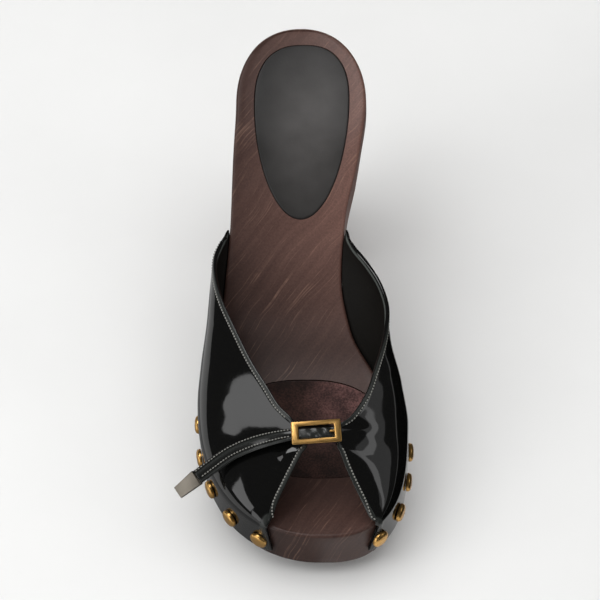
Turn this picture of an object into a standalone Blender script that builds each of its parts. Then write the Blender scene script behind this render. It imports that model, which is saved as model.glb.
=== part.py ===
"""Heeled clog, the right shoe of a pair: wooden sole, patent leather upper, strap, buckle and studs.

Frame: metres, +Z up, floor at z = 0, toe towards -Y, inner (big toe) side towards +X.
The tables are in millimetres. "along" runs from the toe tip (0) to the back of the heel,
"across" runs from the outer side (negative) to the inner side (positive).
"""
import math

import bmesh
import bpy
import numpy as np
from mathutils import Matrix, Vector

for old in list(bpy.data.objects):
    bpy.data.objects.remove(old, do_unlink=True)

MM = 0.001
ORIGIN_ALONG = 60.0  # the origin is on the floor under the ball of the foot

# Sole
SOLE_LENGTH = 220.0
TOE_ACROSS = 5.5  # where the toe tip and the back of the heel lie across the shoe
BACK_ACROSS = -5.0
OUTER, INNER = -1, 1
TOE_SIDE = {OUTER: (66.0, -47.6, 2.1), INNER: (55.0, 41.4, 2.7)}  # along, across, roundness
HEEL_SIDE = {OUTER: (185.0, -33.9, 2.1), INNER: (185.0, 24.5, 2.0)}
WAIST = {  # along, across: the sides between toe and heel
    OUTER: [(66, -47.6), (80, -46.2), (100, -42.0), (120, -38.9), (140, -36.4), (162, -35.2), (185, -33.9)],
    INNER: [(55, 41.4), (70, 37.6), (86, 27.6), (102, 17.8), (122, 13.4), (142, 15.2), (164, 21.2),
            (185, 24.5)],
}
FOOTBED = [(0, 31), (25, 28.8), (55, 28), (80, 31.5), (105, 43), (130, 62), (155, 83), (175, 97),
           (198, 107), (220, 112)]  # along, height of the rim
DISH = [(0, 0.2), (30, 0.9), (60, 1.4), (100, 0.8), (140, 0.6), (185, 2.2), (212, 1.4),
        (220, 0.6)]  # along, how far the middle lies below the rim
TOE_SPRING = 10.5
TREAD_START, TREAD_END = 34.0, 86.0
BREAST_TOP, HEEL_FRONT = 162.5, 167.5
UNDERSIDE = [(TREAD_END, 0), (93, 3), (103, 14), (115, 28.5), (130, 44), (145, 57), (154, 62.5), (159, 62.5),
             (BREAST_TOP, 57)]  # along, height
ARCH_FROM = 112.0  # from here to the heel seat the underside is inset straight across
WALL_FOOT = [(0, 10.5), (40, 11.0), (86, 11.0), (96, 16.5), (110, 32.5), (130, 50), (150, 67), (165, 82),
             (178, 91), (220, 105)]  # along, height where the upright side ends
UNDERCUT = [(0, 7.5), (40, 9.0), (86, 9.0), (115, 6.0), (150, 5.0), (160, 7.0), (168, 12.5),
            (220, 12.0)]  # along, how far the underside's outline lies inside the top's
HEEL_BLEND = [(156, 0), (168, 1)]  # along, from the rounded underside in front to the tapered heel
RIM_ROUND = 1.4

# Upper
LEATHER = 1.8
SKIVE = [(124, 1.0), (139, 0.56)]  # along, share of the thickness left at the rear ends
GAP = 0.3
BAND_DEPTH = [(4.5, 16.0), (6.0, 17.6), (9, 18.0), (45, 16.5), (85, 16.0), (112, 12.5), (138, 10.0)]
# base and foot: along, on the wood, of the shoulder and of the band's foot
# edge: the free edge; rise, swell, crown and reach: how the section turns over from the wall to that edge
PANEL_COLUMNS = ("base", "foot", "edge_across", "edge_along", "edge_height", "rise", "swell", "crown", "reach")
OUTER_PANEL = [
    (5.5, 4.5, -17.0, 8.9, 33.5, 1.5, 0.0, 0.6, 0.42),
    (9.5, 9.0, -13.7, 13.9, 38.0, 4.0, 0.0, 0.7, 0.60),
    (15.0, 15.0, -10.3, 18.4, 42.0, 5.5, 0.0, 0.8, 0.70),
    (22.0, 22.0, -6.4, 23.9, 46.8, 7.0, 0.2, 0.9, 0.70),
    (29.0, 29.0, -2.4, 29.6, 51.4, 8.2, 0.5, 0.6, 0.71),
    (35.0, 35.0, 0.4, 33.6, 54.0, 9.6, 0.8, -0.5, 0.71),
    (43.0, 43.0, -5.0, 42.2, 57.2, 12.0, 1.2, -3.0, 0.70),
    (52.0, 52.0, -11.9, 49.4, 58.6, 16.0, 1.6, -4.5, 0.68),
    (63.0, 63.0, -17.4, 58.3, 60.4, 20.0, 2.0, -3.5, 0.66),
    (75.0, 75.0, -24.4, 69.9, 62.2, 22.0, 2.6, -1.5, 0.64),
    (88.0, 88.0, -31.6, 85.0, 64.2, 22.0, 3.4, 0.0, 0.62),
    (101.0, 101.0, -37.4, 98.7, 65.9, 18.0, 4.4, 0.6, 0.58),
    (112.0, 112.0, -40.6, 110.4, 67.3, 12.0, 4.6, 0.8, 0.52),
    (121.5, 121.5, -41.5, 120.6, 68.2, 8.0, 3.8, 0.8, 0.46),
    (129.5, 129.5, -39.8, 128.8, 68.4, 4.0, 1.8, 0.5, 0.42),
    (139.0, 139.0, -36.8, 138.9, 67.4, 0.8, 0.1, 0.0, 0.42),
]
INNER_PANEL = [
    (8.0, 4.6, 28.8, 8.2, 32.0, 0.6, 0.0, 0.2, 0.42),
    (11.0, 9.5, 25.6, 12.8, 35.8, 3.0, 0.0, 0.8, 0.50),
    (16.0, 16.0, 21.0, 19.3, 41.6, 4.8, 0.0, 1.2, 0.60),
    (22.0, 22.0, 16.8, 25.6, 47.4, 6.0, 0.2, 1.2, 0.66),
    (28.0, 28.0, 14.2, 30.6, 51.6, 7.0, 0.5, 1.2, 0.68),
    (33.0, 33.0, 12.2, 33.6, 54.0, 8.5, 0.8, 0.6, 0.68),
    (41.0, 41.0, 12.6, 40.0, 57.0, 11.5, 1.0, -0.6, 0.66),
    (49.0, 49.0, 18.8, 45.0, 58.4, 15.0, 1.2, -1.2, 0.66),
    (57.0, 57.0, 24.8, 55.0, 60.2, 18.0, 1.6, -0.6, 0.64),
    (66.0, 66.0, 28.0, 65.5, 61.7, 20.0, 3.0, 0.4, 0.60),
    (76.0, 76.0, 30.7, 76.0, 63.0, 20.0, 5.6, 1.0, 0.56),
    (87.0, 87.0, 32.7, 87.0, 64.2, 18.0, 9.6, 1.2, 0.50),
    (98.0, 98.0, 33.2, 97.6, 65.4, 15.0, 12.6, 1.2, 0.46),
    (109.0, 109.0, 30.0, 108.8, 66.6, 11.0, 12.6, 1.2, 0.42),
    (120.0, 120.0, 24.0, 119.8, 67.8, 7.5, 9.0, 1.0, 0.42),
    (129.0, 129.0, 18.2, 128.6, 68.2, 4.0, 3.8, 0.5, 0.42),
    (139.0, 139.0, 15.0, 138.9, 67.4, 0.8, 0.1, 0.0, 0.42),
]
BRIDGE_FRONT_ROW = 5  # in both tables the bridge joins the edges between this row and the next
BRIDGE_CROWN = 0.7
SHORTEST_WALL = 3.0
KNEE_LIFT = 0.5  # of the start of the turn above the rim
STEPS_PER_ROW = 3
SECTION_STEPS = (0.0, 0.1, 0.2, 0.3, 0.42, 0.55, 0.7, 0.85, 1.0)

# Inlaid pads
RECESS_DEPTH = 2.0
CUTTER_TOP = 6.0
PAD_CLEARANCE = 0.3
PAD_EDGE = 0.5
HEEL_PAD = dict(back=211.5, front=142.0, widest=185.0, half_width=21.2, back_across=-4.2, front_across=-4.8,
                back_roundness=2.4, front_roundness=2.0, proud=0.5, swell=0.5)
BALL_PAD = dict(back=82.2, front=32.6, widest=57.0, half_width=32.5, back_across=-3.0, front_across=6.0,
                back_roundness=2.6, front_roundness=2.6, proud=-0.2, swell=0.3)

# Buckle, strap and tip
BUCKLE_LENGTH, BUCKLE_WIDTH, BUCKLE_THICK = 21.5, 10.0, 1.7
BUCKLE_BAR, BUCKLE_END = 2.1, 3.0  # widths of the long bars and of the end bars
BUCKLE_ROUND = 0.5
BUCKLE_CENTRE = (4.1, 35.0)  # across, along
BUCKLE_TURN, BUCKLE_SLOPE = 5.0, 21.0  # degrees
PIN_LENGTH, PIN_RADIUS, PIN_ROOT = 3.2, 0.6, 1.2  # the root lies inside the end bar
STRAP_THICK, STRAP_ROUND = 1.4, 0.35
STRAP_COLUMNS = ("across", "along", "height", "roll", "width")  # of the underside's centre line
STRAP_PATH = [
    (13.6, 36.4, 57.8, 21.0, 5.0),
    (4.1, 35.6, 58.1, 21.0, 5.0),
    (-6.0, 35.5, 57.3, 22.0, 5.2),
    (-15.0, 35.6, 54.2, 24.0, 6.2),
    (-24.0, 35.3, 50.0, 26.0, 6.8),
    (-33.0, 33.6, 45.6, 28.0, 6.8),
    (-41.0, 30.2, 41.0, 30.0, 6.8),
    (-47.8, 26.8, 37.0, 31.0, 6.6),
]
TIP_LENGTH, TIP_WIDE, TIP_NARROW, TIP_THICK, TIP_THIN = 11.5, 7.0, 5.6, 3.0, 1.8
TIP_ROUND, TIP_DROOP = 0.5, 0.15  # the droop is a share of the tip's length

# Studs
STUD_RADIUS, STUD_HEIGHT = 4.1, 2.5
STUD_PITCH = {OUTER: 16.7, INNER: 15.5}
STUD_FIRST = {OUTER: 7.2, INNER: 7.8}  # along
STUD_COUNT = {OUTER: 9, INNER: 9}
STUD_DROP = 0.56  # share of the band's depth
STUD_STAND = GAP + LEATHER + 0.45  # from the wood to the stud's seat
STUD_PROFILE = [(0.0, 0.0), (1.0, 0.0), (1.0, 0.36), (0.86, 0.64), (0.5, 0.94),
                (0.0, 1.0)]  # shares of the radius and of the height

COLOURS = {"wood": (0.075, 0.028, 0.014), "patent": (0.008, 0.008, 0.008), "heel leather": (0.02, 0.02, 0.02),
           "suede": (0.035, 0.02, 0.014), "brass": (0.72, 0.5, 0.22), "steel": (0.7, 0.7, 0.7)}
METALS = ("brass", "steel")


def smooth(table, at, column=1):
    """Value of a table column on a smooth curve through its rows, level before and after them."""
    x = [row[0] for row in table]
    y = [row[column] for row in table]
    if at <= x[0]:
        return y[0]
    if at >= x[-1]:
        return y[-1]
    i = max(k for k in range(len(x) - 1) if x[k] <= at)

    def slope(k):
        if k == 0 or k == len(x) - 1:
            return 0.0
        before = (y[k] - y[k - 1]) / (x[k] - x[k - 1])
        after = (y[k + 1] - y[k]) / (x[k + 1] - x[k])
        if before * after <= 0:
            return 0.0
        w_before = 2 * (x[k + 1] - x[k]) + x[k] - x[k - 1]
        w_after = x[k + 1] - x[k] + 2 * (x[k] - x[k - 1])
        return (w_before + w_after) / (w_before / before + w_after / after)

    h = x[i + 1] - x[i]
    t = (at - x[i]) / h
    return ((1 + 2 * t) * (1 - t) ** 2 * y[i] + t * (1 - t) ** 2 * h * slope(i)
            + t * t * (3 - 2 * t) * y[i + 1] + t * t * (t - 1) * h * slope(i + 1))


def between(values, at):
    """Value at a fractional place in a list, on a curve through the four nearest."""
    i = min(int(at), len(values) - 2)
    t = at - i
    b, c = values[i], values[i + 1]
    a = values[i - 1] if i > 0 else 2 * b - c
    d = values[i + 2] if i + 2 < len(values) else 2 * c - b
    return b + t * ((c - a) / 2 + t * (a - 2.5 * b + 2 * c - d / 2 + t * (1.5 * (b - c) + (d - a) / 2)))


def rim_height(along):
    """Height of the footbed's rim, running on straight past the end rows."""
    first, second, last = FOOTBED[0], FOOTBED[1], FOOTBED[-1]
    if along < first[0]:
        return first[1] + (along - first[0]) * (second[1] - first[1]) / (second[0] - first[0])
    return smooth(FOOTBED, min(along, last[0]))


def side_across(along, side):
    """Across place of the sole's top outline."""
    toe_along, toe_across, toe_round = TOE_SIDE[side]
    heel_along, heel_across, heel_round = HEEL_SIDE[side]
    if along < toe_along:
        share = (1 - (1 - along / toe_along) ** toe_round) ** (1 / toe_round)
        return TOE_ACROSS + (toe_across - TOE_ACROSS) * share
    if along > heel_along:
        part = (along - heel_along) / (SOLE_LENGTH - heel_along)
        share = (1 - part ** heel_round) ** (1 / heel_round)
        return BACK_ACROSS + (heel_across - BACK_ACROSS) * share
    return smooth(WAIST[side], along)


def outward(along, side):
    """Unit vector out of the outline in plan, as across and along."""
    step = 0.05
    low = max(along - step, 0.01)
    high = min(along + step, SOLE_LENGTH - 0.01)
    run = np.array([side_across(high, side) - side_across(low, side), high - low])
    run /= np.linalg.norm(run)
    return np.array([run[1], -run[0]]) * side


def bed_height(across, along):
    """Height of the dished footbed."""
    left = side_across(min(max(along, 0.15), SOLE_LENGTH - 0.15), OUTER)
    right = side_across(min(max(along, 0.15), SOLE_LENGTH - 0.15), INNER)
    off = (across - (left + right) / 2) / ((right - left) / 2)
    return rim_height(along) - smooth(DISH, along) * max(0.0, 1 - off * off)


def under_height(along):
    """Height of the underside: toe spring, tread, arch, breast of the heel and heel tread."""
    if along < TREAD_START:
        return TOE_SPRING * (1 - along / TREAD_START) ** 2
    if along > HEEL_FRONT:
        return 0.0
    if along > BREAST_TOP:
        share = (along - BREAST_TOP) / (HEEL_FRONT - BREAST_TOP)
        return UNDERSIDE[-1][1] * (1 - share)
    return smooth(UNDERSIDE, along)


def place(across, along, height):
    """Shoe millimetres to metres in the part's frame."""
    return Vector((across * MM, (along - ORIGIN_ALONG) * MM, height * MM))


def sheet(mesh, rows, columns, point):
    """Adds a grid of rows by columns corners, each placed by point(row, column)."""
    made = bmesh.ops.create_grid(mesh, x_segments=columns - 1, y_segments=rows - 1, size=1.0)
    for vertex in made["verts"]:
        column = round((vertex.co.x + 1) / 2 * (columns - 1))
        row = round((vertex.co.y + 1) / 2 * (rows - 1))
        vertex.co = point(row, column)


def weld(mesh):
    """Joins sheets at their shared corners and turns the faces outward."""
    bmesh.ops.remove_doubles(mesh, verts=mesh.verts, dist=0.00001)
    bmesh.ops.dissolve_degenerate(mesh, edges=mesh.edges, dist=0.000001)
    bmesh.ops.recalc_face_normals(mesh, faces=mesh.faces)


def collection_named(name):
    found = bpy.data.collections.new(name)
    bpy.context.scene.collection.children.link(found)
    return found


SHOE = collection_named("heeled_clog")
CUTTERS = collection_named("cutters")


def material_named(name):
    found = bpy.data.materials.get(name)
    if found:
        return found
    found = bpy.data.materials.new(name)
    found.use_nodes = True
    shader = found.node_tree.nodes["Principled BSDF"]
    shader.inputs["Base Color"].default_value = (*COLOURS[name], 1.0)
    shader.inputs["Roughness"].default_value = 0.3
    shader.inputs["Metallic"].default_value = 1.0 if name in METALS else 0.0
    return found


def finish(name, mesh, material, into=None):
    """Object from a bmesh, in its collection and with its material."""
    data = bpy.data.meshes.new(name)
    mesh.to_mesh(data)
    mesh.free()
    made = bpy.data.objects.new(name, data)
    (into or SHOE).objects.link(made)
    data.materials.append(material_named(material))
    return made


def apply_modifiers(piece):
    """Bakes the modifiers into the mesh."""
    bpy.context.view_layer.update()
    graph = bpy.context.evaluated_depsgraph_get()
    baked = bpy.data.meshes.new_from_object(piece.evaluated_get(graph))
    piece.modifiers.clear()
    piece.data = baked


def sole_rows():
    """Stations along the sole, close together where it turns."""
    toe = [TOE_SIDE[INNER][0] * (1 - math.cos(a)) for a in np.linspace(math.radians(4.3), math.radians(62), 11)]
    body = list(np.linspace(35.0, 84.0, 8)) + list(np.linspace(88.0, 154.0, 12))
    breast = [157.0, 159.5, BREAST_TOP, (BREAST_TOP + HEEL_FRONT) / 2, HEEL_FRONT]
    heel_from = HEEL_SIDE[OUTER][0]
    heel = [173.0, 180.0] + [heel_from + (SOLE_LENGTH - heel_from) * math.sin(a)
                             for a in np.linspace(math.radians(8), math.radians(85.5), 10)]
    return toe + body + breast + heel


def make_sole():
    """Carved block: rounded rim, upright wall, rounded underside in front, tapered heel behind."""
    rows = sole_rows()
    count = len(rows)
    last = count - 1
    columns = 7
    shares = [column / (columns - 1) for column in range(columns)]
    ring = [(row, 0.0) for row in range(last)] + [(last, share) for share in shares]
    ring += [(row, 1.0) for row in range(last - 1, 0, -1)] + [(0, share) for share in reversed(shares)]
    ring.pop()

    def side_point(along, side, inset, height):
        out = outward(along, side)
        return np.array([side_across(along, side) - out[0] * inset, along - out[1] * inset, height])

    def square_point(along, side, inset, height):
        return np.array([side_across(along, side) - side * inset, along, height])

    def level(index, along, side):
        """The corner of one of the seven loops, from the rim down to the underside."""
        rim = rim_height(along)
        if index < 3:
            turn = math.radians(45 * index)
            drop = RIM_ROUND * (1 - math.cos(turn))
            return side_point(along, side, RIM_ROUND * (1 - math.sin(turn)), rim - drop)
        foot = smooth(WALL_FOOT, along)
        if index == 3:
            return side_point(along, side, 0.0, foot)
        part = (index - 3) / 3
        heel = smooth(HEEL_BLEND, along)
        turn = math.radians(90 * part)
        inset = smooth(UNDERCUT, along) * ((1 - heel) * (1 - math.cos(turn)) + heel * part)
        inset_point = square_point if ARCH_FROM < along < HEEL_SIDE[side][0] else side_point
        low = inset_point(along, side, inset, 0.0)
        bottom = inset_point(along, side, smooth(UNDERCUT, along), 0.0)
        drop = (1 - heel) * math.sin(turn) + heel * part
        low[2] = foot + (under_height(bottom[1]) - foot) * drop
        return low

    def corner(index, row, share):
        left = level(index, rows[row], OUTER)
        return left + (level(index, rows[row], INNER) - left) * share

    def cap(index, height):
        def point(row, column):
            spot = corner(index, row, shares[column])
            if 0 < column < columns - 1 and 0 < row < last:
                spot[2] = height(spot[0], spot[1])
            return place(*spot)

        sheet(mesh, count, columns, point)

    mesh = bmesh.new()
    sheet(mesh, 7, len(ring) + 1, lambda row, column: place(*corner(row, *ring[column % len(ring)])))
    cap(0, bed_height)
    cap(6, lambda across, along: under_height(along))
    weld(mesh)
    return finish("wooden_sole", mesh, "wood")


def pad_across(along, pad):
    """Centre line and half width of a pad at one place along it."""
    part = (along - pad["front"]) / (pad["back"] - pad["front"])
    centre = pad["front_across"] + (pad["back_across"] - pad["front_across"]) * part
    end, roundness = ("back", "back_roundness") if along > pad["widest"] else ("front", "front_roundness")
    off = min(1.0, abs((along - pad["widest"]) / (pad[end] - pad["widest"])))
    return centre, pad["half_width"] * (1 - off ** pad[roundness]) ** (1 / pad[roundness])


def make_pad(name, pad, material, grow, bottom, top, swell, into=None):
    """Plate that follows the footbed, from bottom to top above it, swollen in the middle."""
    segments = 40
    middle = Vector(((pad["front_across"] + pad["back_across"]) / 2, pad["widest"]))

    def rim(turn):
        reach = pad["back"] - pad["widest"] if math.sin(turn) > 0 else pad["widest"] - pad["front"]
        along = pad["widest"] + reach * math.copysign(abs(math.sin(turn)) ** 0.85, math.sin(turn))
        centre, half = pad_across(along, pad)
        spot = Vector((centre + math.copysign(half, math.cos(turn)), along))
        return spot + (spot - middle).normalized() * grow

    profile = [(0.0, bottom), (0.5, bottom), (1.0, bottom), (1.0, top - PAD_EDGE), (0.985, top),
               (0.8, top + 0.6 * swell), (0.45, top + 0.9 * swell), (0.0, top + swell)]  # of the way out, lift

    def point(row, column):
        share, lift = profile[row]
        spot = middle + (rim(2 * math.pi * (column % segments) / segments) - middle) * share
        return place(spot.x, spot.y, bed_height(spot.x, spot.y) + lift)

    mesh = bmesh.new()
    sheet(mesh, len(profile), segments + 1, point)
    weld(mesh)
    return finish(name, mesh, material, into)


def cut(piece, cutter):
    """Takes the cutter's shape out of the piece."""
    cutter.hide_render = True
    cutter.display_type = "WIRE"
    boolean = piece.modifiers.new("recess", "BOOLEAN")
    boolean.operation = "DIFFERENCE"
    boolean.solver = "EXACT"
    boolean.object = cutter
    apply_modifiers(piece)


class Panel:
    """One side of the upper: a section from the band's foot over the shoulder to the free edge at each row."""

    def __init__(self, side, table):
        self.side = side
        self.rows = [dict(zip(PANEL_COLUMNS, row)) for row in table]
        self.steps = (len(table) - 1) * STEPS_PER_ROW + 1

    def value(self, name, step):
        """A column between the rows."""
        return between([row[name] for row in self.rows], step / STEPS_PER_ROW)

    def section(self, step):
        """Inner face corners from the band's foot up to the free edge."""
        base = self.value("base", step)
        foot = self.value("foot", step)

        def on_wall(along, height):
            out = outward(along, self.side)
            return np.array([side_across(along, self.side) + out[0] * GAP, along + out[1] * GAP, height])

        low = on_wall(foot, rim_height(foot) - smooth(BAND_DEPTH, foot))
        edge = np.array([self.value("edge_" + axis, step) for axis in ("across", "along", "height")])
        rise, swell, crown, reach = (self.value(name, step) for name in ("rise", "swell", "crown", "reach"))
        knee = on_wall(base, min(rim_height(base), edge[2] - SHORTEST_WALL) + KNEE_LIFT)
        out = outward(base, self.side)
        shoulder = knee + np.array([out[0] * swell, out[1] * swell, rise])
        handle = edge + reach * (shoulder - edge) + np.array([0.0, 0.0, crown])
        corners = [low + (knee - low) * share for share in (0.0, 0.5)]
        for t in SECTION_STEPS:
            corners.append((1 - t) ** 3 * knee + 3 * t * (1 - t) ** 2 * shoulder + 3 * t * t * (1 - t) * handle
                           + t ** 3 * edge)
        return corners


def make_upper():
    """Two panels and the bridge between them as one sheet, thickened outward."""
    panels = [Panel(OUTER, OUTER_PANEL), Panel(INNER, INNER_PANEL)]
    mesh = bmesh.new()
    sections = []
    for panel in panels:
        sections.append([panel.section(step) for step in range(panel.steps)])
        found = sections[-1]
        sheet(mesh, len(found), len(found[0]), lambda row, column: place(*found[row][column]))
    first = BRIDGE_FRONT_ROW * STEPS_PER_ROW
    bridge_columns = 7

    def bridge(row, column):
        left = sections[0][first + row][-1]
        right = sections[1][first + row][-1]
        share = column / (bridge_columns - 1)
        spot = left + (right - left) * share
        spot[2] += BRIDGE_CROWN * 4 * share * (1 - share)
        return place(*spot)

    sheet(mesh, STEPS_PER_ROW + 1, bridge_columns, bridge)
    weld(mesh)
    inside = place(0.0, ORIGIN_ALONG, rim_height(ORIGIN_ALONG))
    if sum(face.normal.dot(face.calc_center_median() - inside) * face.calc_area() for face in mesh.faces) < 0:
        bmesh.ops.reverse_faces(mesh, faces=mesh.faces)
    upper = finish("upper", mesh, "patent")
    solidify = upper.modifiers.new("leather", "SOLIDIFY")
    solidify.thickness = LEATHER * MM
    solidify.vertex_group = "skive"
    skive = upper.vertex_groups.new(name="skive")
    for corner in upper.data.vertices:
        skive.add([corner.index], smooth(SKIVE, corner.co.y / MM + ORIGIN_ALONG), "REPLACE")
    solidify.offset = 1.0
    solidify.use_even_offset = True
    apply_modifiers(upper)
    return upper


def buckle_frame():
    """Axes of the buckle: columns are along the strap, over it and out of it."""
    turn = Matrix.Rotation(math.radians(BUCKLE_TURN), 4, "Z")
    return turn @ Matrix.Rotation(math.radians(BUCKLE_SLOPE), 4, "X")


def make_buckle(height):
    """Rectangular frame with rounded bars and a short pin on its inner bar."""
    bpy.ops.mesh.primitive_cube_add(size=1.0)
    frame = bpy.context.object
    frame.name = "buckle"
    frame.data.transform(Matrix.Diagonal((BUCKLE_LENGTH * MM, BUCKLE_WIDTH * MM, BUCKLE_THICK * MM, 1)))
    bpy.ops.mesh.primitive_cube_add(size=1.0)
    window = bpy.context.object
    window.name = "buckle_window"
    window.data.transform(Matrix.Diagonal(((BUCKLE_LENGTH - 2 * BUCKLE_END) * MM,
                                           (BUCKLE_WIDTH - 2 * BUCKLE_BAR) * MM, 2 * BUCKLE_THICK * MM, 1)))
    for piece, into in ((frame, SHOE), (window, CUTTERS)):
        for holder in list(piece.users_collection):
            holder.objects.unlink(piece)
        into.objects.link(piece)
    cut(frame, window)
    bevel = frame.modifiers.new("rounded bars", "BEVEL")
    bevel.width = BUCKLE_ROUND * MM
    bevel.segments = 2
    bevel.limit_method = "ANGLE"
    apply_modifiers(frame)
    bpy.ops.mesh.primitive_cylinder_add(vertices=10, radius=PIN_RADIUS * MM, depth=PIN_LENGTH * MM,
                                        rotation=(0, math.pi / 2, 0))
    pin = bpy.context.object
    pin.name = "buckle_pin"
    for holder in list(pin.users_collection):
        holder.objects.unlink(pin)
    CUTTERS.objects.link(pin)
    pin.hide_render = True
    pin.display_type = "WIRE"
    pin.location.x = (BUCKLE_LENGTH / 2 - BUCKLE_END - PIN_LENGTH / 2 + PIN_ROOT) * MM
    join = frame.modifiers.new("pin", "BOOLEAN")
    join.operation = "UNION"
    join.solver = "EXACT"
    join.object = pin
    apply_modifiers(frame)
    frame.data.materials.clear()
    frame.data.materials.append(material_named("brass"))
    turn = buckle_frame()
    frame.data.transform(Matrix.Translation(place(*BUCKLE_CENTRE, height)) @ turn)
    return frame


def strap_station(share):
    """Centre, run, width direction, face direction and width at a share of the strap's path."""
    at = share * (len(STRAP_PATH) - 1)

    def row(place_at):
        return dict(zip(STRAP_COLUMNS, (between([line[k] for line in STRAP_PATH], place_at)
                                        for k in range(len(STRAP_COLUMNS)))))

    def centre(place_at):
        here = row(min(max(place_at, 0), len(STRAP_PATH) - 1))
        return Vector((here["across"], here["along"], here["height"]))

    run = (centre(at + 0.02) - centre(at - 0.02)).normalized()
    roll = math.radians(row(at)["roll"])
    level = Vector((0, math.cos(roll), math.sin(roll)))
    wide = (level - run * level.dot(run)).normalized()
    face = wide.cross(run)
    if face.z < 0:
        face.negate()
    return centre(at), run, wide, face, row(at)["width"]


def make_strap():
    """Flat strap swept along its path."""
    stations = 29
    thick, curl = STRAP_THICK, STRAP_ROUND
    outline = [(-1, 0.0, curl), (-1, 0.0, thick - curl), (-1, curl, thick), (1, -curl, thick),
               (1, 0.0, thick - curl), (1, 0.0, curl), (1, -curl, 0.0), (-1, curl, 0.0)]  # side, step in, lift

    def point(row, column):
        centre, run, wide, face, width = strap_station(row / (stations - 1))
        side, step, lift = outline[column % len(outline)]
        return place(*(centre + wide * (side * width / 2 + step) + face * lift))

    mesh = bmesh.new()
    sheet(mesh, stations, len(outline) + 1, point)
    bmesh.ops.remove_doubles(mesh, verts=mesh.verts, dist=0.00001)
    bmesh.ops.holes_fill(mesh, edges=mesh.edges, sides=len(outline))
    weld(mesh)
    return finish("strap", mesh, "patent")


def make_tip():
    """Tapered cap off the strap's end."""
    centre, run, wide, face, width = strap_station(1.0)
    bpy.ops.mesh.primitive_cube_add(size=1.0)
    tip = bpy.context.object
    tip.name = "strap_tip"
    tip.data.transform(Matrix.Diagonal((TIP_LENGTH * MM, TIP_WIDE * MM, TIP_THICK * MM, 1)))
    for vertex in tip.data.vertices:
        if vertex.co.x > 0:
            vertex.co.y *= TIP_NARROW / TIP_WIDE
            vertex.co.z *= TIP_THIN / TIP_THICK
    bevel = tip.modifiers.new("soft edges", "BEVEL")
    bevel.width = TIP_ROUND * MM
    bevel.segments = 2
    apply_modifiers(tip)
    droop = (run - face * TIP_DROOP).normalized()
    lift = droop.cross(wide)
    if lift.z < 0:
        wide = -wide
        lift.negate()
    axes = Matrix((droop, wide, lift)).transposed().to_4x4()
    middle = centre + face * STRAP_THICK / 2 + droop * (TIP_LENGTH / 2 + GAP)
    tip.data.transform(Matrix.Translation(place(*middle)) @ axes)
    for holder in list(tip.users_collection):
        holder.objects.unlink(tip)
    SHOE.objects.link(tip)
    tip.data.materials.append(material_named("steel"))
    return tip


def stud_places(side):
    """Places along the outline, a pitch apart on the curve."""
    along = STUD_FIRST[side]
    places = [along]
    travelled = 0.0
    step = 0.25
    while len(places) < STUD_COUNT[side]:
        travelled += math.hypot(step, side_across(along + step, side) - side_across(along, side))
        along += step
        if travelled >= STUD_PITCH[side]:
            places.append(along)
            travelled = 0.0
    return places


def make_stud(name, along, side):
    """Domed nail head turned about its axis, standing on the band."""
    mesh = bmesh.new()
    chain = [mesh.verts.new((radius * STUD_RADIUS * MM, 0, lift * STUD_HEIGHT * MM))
             for radius, lift in STUD_PROFILE]
    for low, high in zip(chain, chain[1:]):
        mesh.edges.new((low, high))
    stud = finish(name, mesh, "brass")
    screw = stud.modifiers.new("turned", "SCREW")
    screw.axis = "Z"
    screw.steps = 14
    screw.render_steps = 14
    screw.use_merge_vertices = True
    screw.merge_threshold = 0.00001
    screw.use_normal_calculate = True
    apply_modifiers(stud)
    shape = bmesh.new()
    shape.from_mesh(stud.data)
    weld(shape)
    out = outward(along, side)
    height = rim_height(along) - smooth(BAND_DEPTH, along) * STUD_DROP
    seat = place(side_across(along, side) + out[0] * STUD_STAND, along + out[1] * STUD_STAND, height)
    axis = Vector((out[0], out[1], 0)).normalized()
    turn = axis.to_track_quat("Z", "Y").to_matrix().to_4x4()
    bmesh.ops.transform(shape, matrix=Matrix.Translation(seat) @ turn, verts=shape.verts)
    shape.to_mesh(stud.data)
    shape.free()
    return stud


sole = make_sole()
for pad_name, pad, pad_material in (("heel_pad", HEEL_PAD, "heel leather"), ("ball_pad", BALL_PAD, "suede")):
    recess = make_pad(pad_name + "_recess", pad, "wood", PAD_CLEARANCE, -RECESS_DEPTH, CUTTER_TOP, 0.0, CUTTERS)
    cut(sole, recess)
    make_pad(pad_name, pad, pad_material, 0.0, -RECESS_DEPTH + PAD_CLEARANCE, pad["proud"], pad["swell"])
make_upper()
make_strap()
make_tip()
make_buckle(STRAP_PATH[1][2] + STRAP_THICK + GAP + BUCKLE_THICK / 2)
for side, word in ((OUTER, "outer"), (INNER, "inner")):
    for number, stud_along in enumerate(stud_places(side), 1):
        make_stud(f"stud_{word}_{number}", stud_along, side)
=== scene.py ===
import math

import bpy
import numpy as np
from mathutils import Matrix, Vector, noise


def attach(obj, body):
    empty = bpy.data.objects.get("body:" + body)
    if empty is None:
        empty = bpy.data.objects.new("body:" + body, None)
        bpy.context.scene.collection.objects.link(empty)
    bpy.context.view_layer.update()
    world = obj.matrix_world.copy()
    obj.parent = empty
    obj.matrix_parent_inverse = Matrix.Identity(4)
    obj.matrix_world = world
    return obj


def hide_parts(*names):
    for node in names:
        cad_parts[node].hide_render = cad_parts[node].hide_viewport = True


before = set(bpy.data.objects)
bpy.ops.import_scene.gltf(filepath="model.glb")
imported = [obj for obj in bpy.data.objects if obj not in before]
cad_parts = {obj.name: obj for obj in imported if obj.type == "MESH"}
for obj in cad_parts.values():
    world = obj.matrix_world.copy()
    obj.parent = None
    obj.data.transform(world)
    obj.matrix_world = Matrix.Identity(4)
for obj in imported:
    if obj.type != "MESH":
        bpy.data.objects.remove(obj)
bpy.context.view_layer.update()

# Sizes are in millimetres. along runs from the toe tip to the heel, across from the outer to the inner side.
mm = 0.001
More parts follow.
